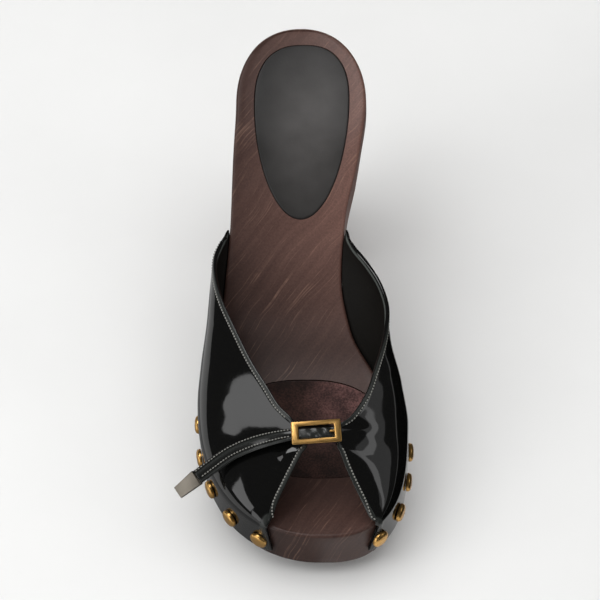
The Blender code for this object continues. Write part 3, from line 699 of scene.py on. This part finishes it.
def padRim(pad, turn, grow):
    reach = pad["back"] - pad["widest"] if math.sin(turn) > 0 else pad["widest"] - pad["front"]
    pulled = abs(math.sin(turn)) ** padRings["endPull"]
    along = pad["widest"] + reach * math.copysign(pulled, math.sin(turn))
    part = (along - pad["front"]) / (pad["back"] - pad["front"])
    centre = pad["frontAcross"] + (pad["backAcross"] - pad["frontAcross"]) * part
    end, roundness = ("back", "backRound") if along > pad["widest"] else ("front", "frontRound")
    off = min(1.0, abs((along - pad["widest"]) / (pad[end] - pad["widest"])))
    half = pad["halfWidth"] * (1 - off ** pad[roundness]) ** (1 / pad[roundness])
    spot = np.array([centre + math.copysign(half, math.cos(turn)), along])
    away = spot - padMiddle(pad)
    return spot + away / np.linalg.norm(away) * grow


def padMiddle(pad):
    return np.array([(pad["frontAcross"] + pad["backAcross"]) / 2, pad["widest"]])


def makePad(name, pad, profile, grow=0.0, segments=144):
    # profile rows: share of the way out, step in from the rim, lift over the footbed
    middle = padMiddle(pad)
    turns = np.linspace(0, 2 * math.pi, segments + 1)
    rims = [padRim(pad, turn, grow) for turn in turns[:-1]]
    rims.append(rims[0])
    grid = []
    for share, step, lift in profile:
        line = []
        for rim in rims:
            away = rim - middle
            reach = np.linalg.norm(away)
            spot = middle + away * max(0.0, share - step / reach)
            line.append((spot[0], spot[1], bedHeight(*spot) + lift))
        grid.append(line)
    return weld(gridPiece(name, grid))


def crownedPad(name, pad):
    bottom = -sole["recessDepth"] + gap
    top = pad["proud"]
    edgeRound = pad["edgeRound"]
    profile = [(share, 0.0, bottom) for share in np.linspace(0, 1, padRings["bottom"])]
    profile += [(1.0, edgeRound * (1 - math.cos(a)), top - edgeRound * (1 - math.sin(a)))
                for a in np.radians(np.linspace(0, 90, padRings["edge"]))]
    for share in np.linspace(padRings["crownFrom"], 0.0, padRings["crown"]):
        crown = pad["swell"] * (1 - share ** padRings["crownPower"])
        profile.append((share, edgeRound * share, top + crown))
    return makePad(name, pad, profile)


def cutRecess(block, pad):
    depth = -sole["recessDepth"]
    above = 6.0
    profile = [(share, 0.0, depth) for share in np.linspace(0, 1, padRings["bottom"])]
    profile += [(share, 0.0, above) for share in np.linspace(1, 0, padRings["bottom"])]
    cutter = makePad("recess", pad, profile, gap)
    applied(block, "BOOLEAN", operation="DIFFERENCE", solver="EXACT", object=cutter)
    bpy.data.objects.remove(cutter, do_unlink=True)


woodBlock = makeSole()
for pad in (heelPad, ballPad):
    cutRecess(woodBlock, pad)
smoothed(woodBlock, sole["smoothAngle"])
dressed(woodBlock, "wooden_sole", "lacquered_wood", lacqueredWood())
print("sole carved:", len(woodBlock.data.polygons), "faces")

heelCushion = crownedPad("heel_pad_leather", heelPad)
ballInlay = crownedPad("ball_pad_suede", ballPad)
for cushion in (heelCushion, ballInlay):
    smoothed(cushion, padRings["smoothAngle"])
dressed(heelCushion, "heel_pad", "heel_leather", heelLeather())
dressed(ballInlay, "ball_pad", "suede", brownSuede())
print("pads laid in")

# Upper

panelColumns = ("base", "foot", "edgeAcross", "edgeAlong", "edgeHeight", "rise", "swell", "crown", "reach")
panels = {
    outerSide: [
        (5.5, 4.5, -17.0, 8.9, 33.5, 1.5, 0.0, 0.6, 0.42),
        (9.5, 9.0, -13.7, 13.9, 38.0, 4.0, 0.0, 0.7, 0.60),
        (15.0, 15.0, -10.3, 18.4, 42.0, 5.5, 0.0, 0.8, 0.70),
        (22.0, 22.0, -6.4, 23.9, 46.8, 7.0, 0.2, 0.9, 0.70),
        (29.0, 29.0, -2.4, 29.6, 51.4, 8.2, 0.5, 0.6, 0.71),
        (35.0, 35.0, 0.4, 33.6, 54.0, 9.6, 0.8, -0.5, 0.71),
        (43.0, 43.0, -5.0, 42.2, 57.2, 12.0, 1.2, -3.0, 0.70),
        (52.0, 52.0, -11.9, 49.4, 58.6, 16.0, 1.6, -4.5, 0.68),
        (63.0, 63.0, -17.4, 58.3, 60.4, 20.0, 2.0, -3.5, 0.66),
        (75.0, 75.0, -24.4, 69.9, 62.2, 22.0, 2.6, -1.5, 0.64),
        (88.0, 88.0, -31.6, 85.0, 64.2, 22.0, 3.4, 0.0, 0.62),
        (101.0, 101.0, -37.4, 98.7, 65.9, 18.0, 4.4, 0.6, 0.58),
        (112.0, 112.0, -40.6, 110.4, 67.3, 12.0, 4.6, 0.8, 0.52),
        (121.5, 121.5, -41.5, 120.6, 68.2, 8.0, 3.8, 0.8, 0.46),
        (129.5, 129.5, -39.8, 128.8, 68.4, 4.0, 1.8, 0.5, 0.42),
        (139.0, 139.0, -36.8, 138.9, 67.4, 0.8, 0.1, 0.0, 0.42),
    ],
    innerSide: [
        (8.0, 4.6, 28.8, 8.2, 32.0, 0.6, 0.0, 0.2, 0.42),
        (11.0, 9.5, 25.6, 12.8, 35.8, 3.0, 0.0, 0.8, 0.50),
        (16.0, 16.0, 21.0, 19.3, 41.6, 4.8, 0.0, 1.2, 0.60),
        (22.0, 22.0, 16.8, 25.6, 47.4, 6.0, 0.2, 1.2, 0.66),
        (28.0, 28.0, 14.2, 30.6, 51.6, 7.0, 0.5, 1.2, 0.68),
        (33.0, 33.0, 12.2, 33.6, 54.0, 8.5, 0.8, 0.6, 0.68),
        (41.0, 41.0, 12.6, 40.0, 57.0, 11.5, 1.0, -0.6, 0.66),
        (49.0, 49.0, 18.8, 45.0, 58.4, 15.0, 1.2, -1.2, 0.66),
        (57.0, 57.0, 24.8, 55.0, 60.2, 18.0, 1.6, -0.6, 0.64),
        (66.0, 66.0, 28.0, 65.5, 61.7, 20.0, 3.0, 0.4, 0.60),
        (76.0, 76.0, 30.7, 76.0, 63.0, 20.0, 5.6, 1.0, 0.56),
        (87.0, 87.0, 32.7, 87.0, 64.2, 18.0, 9.6, 1.2, 0.50),
        (98.0, 98.0, 33.2, 97.6, 65.4, 15.0, 12.6, 1.2, 0.46),
        (109.0, 109.0, 30.0, 108.8, 66.6, 11.0, 12.6, 1.2, 0.42),
        (120.0, 120.0, 24.0, 119.8, 67.8, 7.5, 9.0, 1.0, 0.42),
        (129.0, 129.0, 18.2, 128.6, 68.2, 4.0, 3.8, 0.5, 0.42),
        (139.0, 139.0, 15.0, 138.9, 67.4, 0.8, 0.1, 0.0, 0.42),
    ],
}
upper = dict(
    bandDepth=[(4.5, 16.0), (6.0, 17.6), (9, 18.0), (45, 16.5), (85, 16.0), (112, 12.5), (138, 10.0)],
    skive=[(124, 1.0), (139, 0.56)],  # along, share of the thickness left at the rear ends
    bridgeRow=5,  # the bridge joins the free edges between this row and the next
    bridgeCrown=0.7,
    bridgeArch=1.2,
    bridgeColumns=12,
    footGap=0.03,  # the band's foot lies against the wood
    shortestWall=3.0,
    kneeLift=0.5,
    stepsPerRow=9,
    bandColumns=8,
    panelColumns=15,
    edgeSteps=(8.8, 8.0, 7.2, 6.4, 5.7, 5.0, 4.3, 3.7, 3.1, 2.6, 2.2, 1.9, 1.6, 1.3, 1.0, 0.7, 0.35,
               0.0),  # in from the free edge
    edgeShare=0.6,  # the most of a section that these steps take up
    frontBunch=1.6,  # rows lie closer together at the front corner
    curveSteps=81,
    footStep=0.9,
    onBand=99.0,  # stands for the way to the free edge from down on the band
    bridgeFade=3,
    foldRise=(-1, 6),  # the folds start above the band
    rearFade=1.2,  # the roll runs out at the rear
    seamAt=1.6,
    seamDepth=0.25,
    seamWidth=0.4,
    rollAt=0.8,
    rollHeight=0.3,
    rollWidth=0.6,
    frontShare=0.55,  # the strip is wider down the front corner
    turnedAt=0.85,
    turnedWidth=0.75,
    turnedSharp=3,
    frontStrip=6,
    # rows without stitches before the bridge, past it and at the rear
    seamShort=2,
    seamPast=3,
    seamEnd=6,
)
# soft folds, drawn one by one: place in plan, direction in degrees from across, half length, half width,
# height
foldColumns = ("across", "along", "turn", "length", "width", "height")
softFolds = [
    (-4.0, 32.5, 200.0, 7.0, 1.8, 0.20),
    (26.0, 39.8, 25.0, 8.0, 4.0, 0.90),
    (-8.8, 30.4, 130.0, 2.0, 2.8, 0.70),
    (-10.8, 22.8, 130.0, 1.6, 1.0, 0.28),
    (-13.4, 24.6, 150.0, 1.4, 0.9, 0.20),
]


def panelSections(side):
    rows = [dict(zip(panelColumns, row)) for row in panels[side]]
    perRow = upper["stepsPerRow"]
    count = (len(rows) - 1) * perRow + 1

    def onWall(along, height, off=gap):
        out = outward(along, side)
        return np.array([sideAcross(along, side) + out[0] * off, along + out[1] * off, height])

    lines, fromEdge = [], []
    for step in range(count):
        at = step / perRow
        at = at ** upper["frontBunch"] if at < 1 else at
        row = {name: between([line[name] for line in rows], at) for name in panelColumns}
        low = onWall(row["foot"], rimHeight(row["foot"]) - onTable(upper["bandDepth"], row["foot"]),
                     upper["footGap"])
        edge = np.array([row["edgeAcross"], row["edgeAlong"], row["edgeHeight"]])
        wallTop = min(rimHeight(row["base"]), edge[2] - upper["shortestWall"])
        knee = onWall(row["base"], wallTop + upper["kneeLift"])
        out = outward(row["base"], side)
        shoulder = knee + np.array([out[0] * row["swell"], out[1] * row["swell"], row["rise"]])
        handle = edge + row["reach"] * (shoulder - edge) + np.array([0.0, 0.0, row["crown"]])
        t = np.linspace(0, 1, upper["curveSteps"])[:, None]
        curve = ((1 - t) ** 3 * knee + 3 * t * (1 - t) ** 2 * shoulder
                 + 3 * t * t * (1 - t) * handle + t ** 3 * edge)
        run = np.concatenate([[0], np.cumsum(np.linalg.norm(np.diff(curve, axis=0), axis=1))])
        margin = min(upper["edgeSteps"][0], upper["edgeShare"] * run[-1])
        near = np.array(upper["edgeSteps"]) * margin / upper["edgeSteps"][0]
        far = np.linspace(0, run[-1] - margin, upper["panelColumns"] + 1)[:-1]
        stations = np.concatenate([far, run[-1] - near])
        panel = np.stack([np.interp(stations, run, curve[:, axis]) for axis in range(3)], axis=1)
        depth = np.linalg.norm(knee - low)
        footShare = upper["footStep"] / depth
        shares = np.concatenate([[0.0, footShare], np.linspace(footShare, 1, upper["bandColumns"])[1:-1]])
        lines.append(np.concatenate([low + (knee - low) * shares[:, None], panel]))
        fromEdge.append(np.concatenate([np.full(len(shares), upper["onBand"]), run[-1] - stations]))
    return np.array(lines), np.array(fromEdge)


def gridNormals(grid, side):
    rowStep = np.gradient(grid, axis=0)
    columnStep = np.gradient(grid, axis=1)
    normal = np.cross(rowStep, columnStep) * side
    return normal / np.linalg.norm(normal, axis=2, keepdims=True)


def foldHeight(grid):
    total = np.zeros(grid.shape[:2])
    for line in softFolds:
        fold = dict(zip(foldColumns, line))
        turn = math.radians(fold["turn"])
        dx, dy = grid[..., 0] - fold["across"], grid[..., 1] - fold["along"]
        u = dx * math.cos(turn) + dy * math.sin(turn)
        v = -dx * math.sin(turn) + dy * math.cos(turn)
        total += fold["height"] * np.exp(-(u / fold["length"]) ** 2 - (v / fold["width"]) ** 2)
    return total


def shapedPanel(side):  # one panel's inner face with seam trough, rolled edge and folds, and its normals
    grid, fromEdge = panelSections(side)
    normal = gridNormals(grid, side)
    step = np.arange(len(grid)) / upper["stepsPerRow"] - upper["bridgeRow"]
    free = np.clip(np.maximum(-step, step - 1) * upper["bridgeFade"], 0, 1)[:, None]
    seam = -upper["seamDepth"] * np.exp(-((fromEdge - upper["seamAt"]) / upper["seamWidth"]) ** 2)
    # the turned edge goes on down the band's front corner
    fromFront = np.cumsum(np.linalg.norm(np.diff(grid, axis=0, prepend=grid[:1]), axis=2), axis=0)
    fromRim = np.minimum(fromEdge, fromFront * upper["frontShare"])
    roll = upper["rollHeight"] * np.exp(-((fromRim - upper["rollAt"]) / upper["rollWidth"]) ** 2)
    rise = np.linspace(*upper["foldRise"], grid.shape[1])[None, :]
    above = np.clip((fromEdge < upper["onBand"]) * rise, 0, 1)
    thinned = np.array([[onTable(upper["skive"], along)] for along in grid[:, -1, 1]])
    fade = thinned * (1 + upper["rearFade"]) - upper["rearFade"]
    lift = (seam + roll) * free * fade + foldHeight(grid) * above
    inStrip = upper["turnedWidth"] - np.abs(fromRim - upper["turnedAt"])
    atRim = np.maximum(free, fromFront < upper["frontStrip"])
    turned = np.clip(inStrip * upper["turnedSharp"], 0, 1) * atRim
    return grid + normal * lift[..., None], normal, turned


def makeUpper():
    shaped = {side: shapedPanel(side) for side in (outerSide, innerSide)}
    first = upper["bridgeRow"] * upper["stepsPerRow"]
    zone = slice(first, first + upper["stepsPerRow"] + 1)
    left, right = shaped[outerSide][0][zone, -1], shaped[innerSide][0][zone, -1]
    share = np.linspace(0, 1, upper["bridgeColumns"])
    bow = 4 * share * (1 - share)
    back = np.linspace(1, 0, len(left))[:, None]
    bridge = left[:, None] + (right - left)[:, None] * share[None, :, None]
    bridge[..., 2] += upper["bridgeCrown"] * bow
    bridge[..., 1] += upper["bridgeArch"] * bow * back
    sheets = [gridPiece("upper_sheet", shaped[side][0], shaped[side][2]) for side in (outerSide, innerSide)]
    sheets.append(gridPiece("upper_bridge", bridge, np.zeros(bridge.shape[:2])))
    piece = weld(*sheets)
    inside = Vector((0.0, 0.0, rimHeight(originAlong) * mm))
    if sum(face.normal.dot(face.center - inside) * face.area for face in piece.data.polygons) < 0:
        piece.data.flip_normals()
    faces = len(piece.data.polygons)
    dressed(piece, "upper", "patent_leather", patent, liningLeather())
    skive = piece.vertex_groups.new(name="skive")
    for corner in piece.data.vertices:
        skive.add([corner.index], onTable(upper["skive"], corner.co.y / mm + originAlong), "REPLACE")
    applied(piece, "SOLIDIFY", thickness=leatherThick * mm, offset=1.0, vertex_group="skive")
    sides = [piece.data.polygons[:faces], piece.data.polygons[faces:2 * faces]]
    lined = min(sides, key=lambda part: sum(face.normal.dot(face.center - inside) for face in part))
    for face in lined:
        face.material_index = 1
    applied(piece, "SUBSURF", levels=1, render_levels=1)
    pick(piece)
    bpy.ops.object.shade_smooth()
    piece.name = "upper_patent"
    seams = []
    column = -1 - upper["edgeSteps"][::-1].index(upper["seamAt"])
    front = slice(upper["seamShort"], first - upper["seamShort"])
    rear = slice(first + upper["stepsPerRow"] + upper["seamPast"], -upper["seamEnd"])
    for side in (outerSide, innerSide):
        grid, normal, turned = shaped[side]
        thinned = np.array([[onTable(upper["skive"], along)] for along in grid[:, column, 1]])
        face = grid[:, column] + normal[:, column] * (leatherThick * thinned)
        for stretch in (front, rear):
            seams.append((face[stretch], normal[stretch, column]))
    return piece, seams


patent = patentLeather()
upperShell, seamLines = makeUpper()
print("upper lasted:", len(upperShell.data.polygons), "faces")

# Strap

strap = dict(
    thick=1.4,
    path=[  # across, along, height, roll, width of the underside's middle line
        (13.6, 36.4, 57.8, 21.0, 5.0),
        (4.1, 35.6, 58.1, 21.0, 5.0),
        (-6.0, 35.5, 57.3, 22.0, 5.2),
        (-15.0, 35.6, 54.2, 24.0, 6.2),
        (-24.0, 35.3, 50.0, 26.0, 6.8),
        (-33.0, 33.6, 45.6, 28.0, 6.8),
        (-41.0, 30.2, 41.0, 30.0, 6.8),
        (-47.8, 26.8, 37.0, 31.0, 6.6),
    ],
    stations=120,
    roundPoints=36,
    seamOffs=(-0.3, 0.78),  # shares of the half width, towards the heel
    seamDepth=0.25,
    seamWide=0.12,
    seamFrom=0.04,  # past the crumple
    seamUntil=0.985,
    ridgeAt=0.28,
    ridgeWide=0.3,
    ridge=0.5,
    # painted sheen: a grey satin mark along the ridge, the front edge and all through the buckle
    rubbedAndSheen=0.8,
    frontSheen=(-0.75, 0.2),  # place and width of the painted sheen along the front edge
    buckleSheen=0.8,
    squareWide=0.5,  # powers that square the round section
    squareHigh=0.6,
    endShare=0.96,
    look=0.02,  # either way along the path, for its direction
    crumple=0.5,
    crumpleUntil=0.26,  # share of the path that lies in the buckle
    crumplePower=4,
    crumpleNoise=0.7,
    noiseScale=(0.45, 0.9),
    noiseSlice=3.1,
    crumpleSink=0.35,
    crumpleWave=0.45,
    waveScale=(1.35, 1.1),
    looseRise=12,  # how soon ridge and seams start behind the buckle
)


def strapStation(share):
    path = strap["path"]
    at = share * (len(path) - 1)

    def row(place):
        return [between([line[k] for line in path], place) for k in range(5)]

    def centre(place):
        return Vector(row(min(max(place, 0), len(path) - 1))[:3])

    run = (centre(at + strap["look"]) - centre(at - strap["look"])).normalized()
    roll = math.radians(row(at)[3])
    level = Vector((0, math.cos(roll), math.sin(roll)))
    wide = (level - run * level.dot(run)).normalized()
    face = wide.cross(run)
    if face.z < 0:
        face.negate()
    return centre(at), run, wide, face, row(at)[4]


def crumpleFold(spot):
    across, along = strap["noiseScale"]
    fold = strap["crumpleNoise"] * noise.noise(Vector((spot.x * across, spot.y * along, strap["noiseSlice"])))
    fold -= strap["crumpleSink"]
    across, along = strap["waveScale"]
    return fold + strap["crumpleWave"] * math.sin(spot.x * across + spot.y * along)


def ridgeHump(off):
    return bell(off, strap["ridgeAt"], strap["ridgeWide"])


def makeStrap():
    grid, marks = [], []
    seams = [[] for seamOff in strap["seamOffs"]]
    half = strap["thick"] / 2
    count = strap["stations"]
    for station in range(-2, count + 2):
        share = min(max(station, 0), count - 1) / (count - 1)
        shrink = 0.0 if station in (-2, count + 1) else 1.0 if 0 <= station < count else strap["endShare"]
        centre, run, wide, face, width = strapStation(share)
        crumple = strap["crumple"] * max(0.0, 1 - (share / strap["crumpleUntil"]) ** strap["crumplePower"])
        loose = min(1.0, max(0.0, (share - strap["crumpleUntil"]) * strap["looseRise"]))
        line, sheenLine = [], []
        for turn in np.linspace(0, 2 * math.pi, strap["roundPoints"] + 1):
            c, s = math.cos(turn), math.sin(turn)
            off = math.copysign(abs(c) ** strap["squareWide"], c) * shrink
            lift = half + half * math.copysign(abs(s) ** strap["squareHigh"], s) * shrink
            spot = centre + wide * off * width / 2 + face * lift
            if s > 0:
                dent = sum(strap["seamDepth"] * bell(off, seamOff, strap["seamWide"])
                           for seamOff in strap["seamOffs"])
                ridge = strap["ridge"] * ridgeHump(off)
                spot += face * s * (crumple * crumpleFold(spot) + (ridge - dent) * loose)
            line.append(spot)
            # painted sheen: the grey satin mark lies on the ridge and front edge, and all over the crumple in
            # the buckle
            sheenShare = ridgeHump(off) + bell(off, *strap["frontSheen"])
            sheenShare = sheenShare if share > strap["crumpleUntil"] else strap["buckleSheen"]
            sheenLine.append(strap["rubbedAndSheen"] * sheenShare * (s > 0))
        grid.append(line)
        marks.append(sheenLine)
        if strap["crumpleUntil"] + strap["seamFrom"] < share < strap["seamUntil"] and shrink == 1.0:
            for seam, seamOff in zip(seams, strap["seamOffs"]):
                high = strap["thick"] - strap["seamDepth"] + strap["ridge"] * ridgeHump(seamOff)
                seam.append((centre + wide * seamOff * width / 2 + face * high, face))
    piece = weld(gridPiece("strap_leather", grid, marks))
    pick(piece)
    bpy.ops.object.shade_smooth()
    return piece, [tuple(np.array(part) for part in zip(*seam)) for seam in seams]


strapPiece, strapSeams = makeStrap()
dressed(strapPiece, "strap", "patent_leather", patent)
print("strap laid through the buckle")

# Stitches

stitch = dict(pitch=1.45, length=1.1, wide=0.85, high=0.7, stand=0.2, look=0.3, upperShare=1.0,
              strapShare=0.72)


def makeStitches(name, lines, share):
    deselectAll()
    bpy.ops.mesh.primitive_uv_sphere_add(segments=8, ring_count=6, radius=0.5)
    model = bpy.context.object
    pick(model)
    size = (stitch["length"] * mm, stitch["wide"] * share * mm, stitch["high"] * share * mm)
    bpy.ops.transform.resize(value=size)
    bpy.ops.object.transform_apply(location=True, rotation=True, scale=True)
    copies = []
    for spots, normals in lines:
        run = np.concatenate([[0], np.cumsum(np.linalg.norm(np.diff(spots, axis=0), axis=1))])

        def read(values, where):
            return Vector([np.interp(where, run, values[:, axis]) for axis in range(3)])

        for at in np.arange(stitch["pitch"] / 2, run[-1], stitch["pitch"]):
            lift = read(normals, at).normalized()
            ahead = (read(spots, at + stitch["look"]) - read(spots, at - stitch["look"])).normalized()
            beside = lift.cross(ahead).normalized()
            lift = ahead.cross(beside)
            turn = Matrix((ahead, beside, lift)).transposed().to_4x4()
            spot = read(spots, at) + lift * stitch["stand"] - Vector((0, originAlong, 0))
            copies.append(placedCopy(model, Matrix.Translation(spot * mm) @ turn))
    bpy.data.objects.remove(model, do_unlink=True)
    pick(*copies)
    bpy.ops.object.join()
    row = bpy.context.object
    row.name = name
    row.data.name = name
    bpy.ops.object.shade_smooth()
    return row


thread = sewingThread()
for name, lines, share in (("upper_stitching", seamLines, stitch["upperShare"]),
                           ("strap_stitching", strapSeams, stitch["strapShare"])):
    dressed(makeStitches(name, lines, share), None, "patent_leather", thread)
print("stitched")

# Buckle

buckle = dict(length=21.5, width=10.0, thick=1.7, longBar=2.1, endBar=3.0, rounding=0.5, centre=(4.1, 35.0),
              turn=5.0, slope=21.0, pinLength=3.2, pinRadius=0.6, pinRoot=1.2, pinRounding=0.35, stand=0.05,
              smoothAngle=35)


def selectFaces(piece, test):
    bpy.ops.object.mode_set(mode="EDIT")
    bpy.ops.mesh.select_mode(type="FACE")
    bpy.ops.mesh.select_all(action="DESELECT")
    bpy.ops.object.mode_set(mode="OBJECT")
    for face in piece.data.polygons:
        face.select = test(face)
    bpy.ops.object.mode_set(mode="EDIT")


def makeBuckle():
    piece = boxPiece("buckle_frame", buckle["length"], buckle["width"], buckle["thick"])
    selectFaces(piece, lambda face: abs(face.normal.z) > 0.9)
    bpy.ops.mesh.inset(thickness=buckle["longBar"] * mm)
    narrowed = (buckle["length"] - 2 * buckle["endBar"]) / (buckle["length"] - 2 * buckle["longBar"])
    bpy.ops.transform.resize(value=(narrowed, 1, 1), center_override=(0, 0, 0))
    bpy.ops.mesh.bridge_edge_loops()
    bpy.ops.mesh.select_all(action="SELECT")
    bpy.ops.mesh.normals_make_consistent(inside=False)
    bpy.ops.object.mode_set(mode="OBJECT")
    applied(piece, "BEVEL", width=buckle["rounding"] * mm, segments=4, limit_method="ANGLE")
    deselectAll()
    bpy.ops.mesh.primitive_cylinder_add(vertices=16, radius=buckle["pinRadius"] * mm,
                                        depth=buckle["pinLength"] * mm, rotation=(0, math.pi / 2, 0))
    pin = bpy.context.object
    inward = buckle["length"] / 2 - buckle["endBar"] - buckle["pinLength"] / 2 + buckle["pinRoot"]
    pin.location.x = inward * mm
    bpy.ops.object.transform_apply(location=True, rotation=True, scale=True)
    applied(pin, "BEVEL", width=buckle["pinRounding"] * mm, segments=3, limit_method="ANGLE")
    pick(piece, pin)
    bpy.ops.object.join()
    height = strap["path"][1][2] + strap["thick"] + buckle["stand"] + buckle["thick"] / 2
    across, along = buckle["centre"]
    seat = Matrix.Translation(Vector((across, along - originAlong, height)) * mm)
    piece.data.transform(seat @ Matrix.Rotation(math.radians(buckle["turn"]), 4, "Z")
                         @ Matrix.Rotation(math.radians(buckle["slope"]), 4, "X"))
    return smoothed(piece, buckle["smoothAngle"])


gold = satinGold()
dressed(makeBuckle(), "buckle", "gold_metal", gold)
print("buckle made")

# Strap tip

tip = dict(length=11.5, wide=7.0, narrow=5.6, thick=3.0, thin=1.8, rounding=0.25, wall=0.5, mouth=0.8,
           droop=0.15, smoothAngle=35)


def makeTip():
    centre, run, wide, face, width = strapStation(1.0)
    piece = boxPiece("strap_tip_cap", tip["length"], tip["wide"], tip["thick"])
    selectFaces(piece, lambda side: side.normal.x > 0.9)
    bpy.ops.transform.resize(value=(1, tip["narrow"] / tip["wide"], tip["thin"] / tip["thick"]),
                             center_override=(tip["length"] / 2 * mm, 0, 0))
    bpy.ops.object.mode_set(mode="OBJECT")
    selectFaces(piece, lambda side: side.normal.x < -0.9)
    bpy.ops.mesh.inset(thickness=tip["wall"] * mm)
    bpy.ops.mesh.extrude_region_move(TRANSFORM_OT_translate={"value": (tip["mouth"] * mm, 0, 0)})
    bpy.ops.object.mode_set(mode="OBJECT")
    applied(piece, "BEVEL", width=tip["rounding"] * mm, segments=3, limit_method="ANGLE")
    droop = (run - face * tip["droop"]).normalized()
    lift = droop.cross(wide)
    if lift.z < 0:
        wide = -wide
        lift.negate()
    axes = Matrix((droop, wide, lift)).transposed().to_4x4()
    middle = centre + face * strap["thick"] / 2 + droop * (tip["length"] / 2 + gap)
    piece.data.transform(Matrix.Translation((middle - Vector((0, originAlong, 0))) * mm) @ axes)
    return smoothed(piece, tip["smoothAngle"])


dressed(makeTip(), "strap_tip", "silver_metal", satinNickel())
print("tip fitted")

# Studs

stud = dict(
    sunk=0.42,  # the side reaches down to the leather
    turned=[(4.1, 0.35), (4.0, 0.85), (3.7, 1.25), (3.2, 1.55), (2.4, 1.78), (1.2, 1.92)],  # radius, height
    pitch={outerSide: 16.7, innerSide: 15.5},
    first={outerSide: 7.2, innerSide: 7.8},
    count=9,
    drop=0.56,  # of the band's depth, below the rim
    stand=gap + leatherThick + 0.45,
    rounding=0.15,
    roundFrom=25,  # degrees between faces
    smoothAngle=40,
)


def modelStud():  # a turned nail head: short straight side, rolled shoulder, low dome
    radius, height = stud["turned"][0]
    deselectAll()
    bpy.ops.mesh.primitive_cylinder_add(vertices=40, radius=radius * mm, depth=(height + stud["sunk"]) * mm,
                                        location=(0, 0, (height - stud["sunk"]) / 2 * mm))
    piece = bpy.context.object
    bpy.ops.object.transform_apply(location=True, rotation=True, scale=True)
    selectFaces(piece, lambda face: face.normal.z > 0.9)
    for nextRadius, nextHeight in stud["turned"][1:]:
        climb = (0, 0, (nextHeight - height) * mm)
        shrink = (nextRadius / radius, nextRadius / radius, 1)
        bpy.ops.mesh.extrude_region_move(TRANSFORM_OT_translate={"value": climb})
        bpy.ops.transform.resize(value=shrink, center_override=(0, 0, 0))
        radius, height = nextRadius, nextHeight
    bpy.ops.object.mode_set(mode="OBJECT")
    applied(piece, "BEVEL", width=stud["rounding"] * mm, segments=2, limit_method="ANGLE",
            angle_limit=math.radians(stud["roundFrom"]))
    return smoothed(piece, stud["smoothAngle"])


def studPlaces(side):
    along = stud["first"][side]
    places = [along]
    travelled = 0.0
    step = 0.25
    while len(places) < stud["count"]:
        travelled += math.hypot(step, sideAcross(along + step, side) - sideAcross(along, side))
        along += step
        if travelled >= stud["pitch"][side]:
            places.append(along)
            travelled = 0.0
    return places


studModel = modelStud()
for side, word in ((outerSide, "outer"), (innerSide, "inner")):
    for number, along in enumerate(studPlaces(side), 1):
        out = outward(along, side)
        height = rimHeight(along) - onTable(upper["bandDepth"], along) * stud["drop"]
        seat = Vector((sideAcross(along, side) + out[0] * stud["stand"],
                       along + out[1] * stud["stand"] - originAlong, height)) * mm
        axis = Vector((out[0], out[1], 0)).normalized()
        turn = axis.to_track_quat("Z", "Y").to_matrix().to_4x4()
        head = placedCopy(studModel, Matrix.Translation(seat) @ turn)
        head.name = f"stud_head_{word}_{number}"
        dressed(head, f"stud_{word}_{number}", "gold_metal", gold)
bpy.data.objects.remove(studModel, do_unlink=True)
print("studs driven")
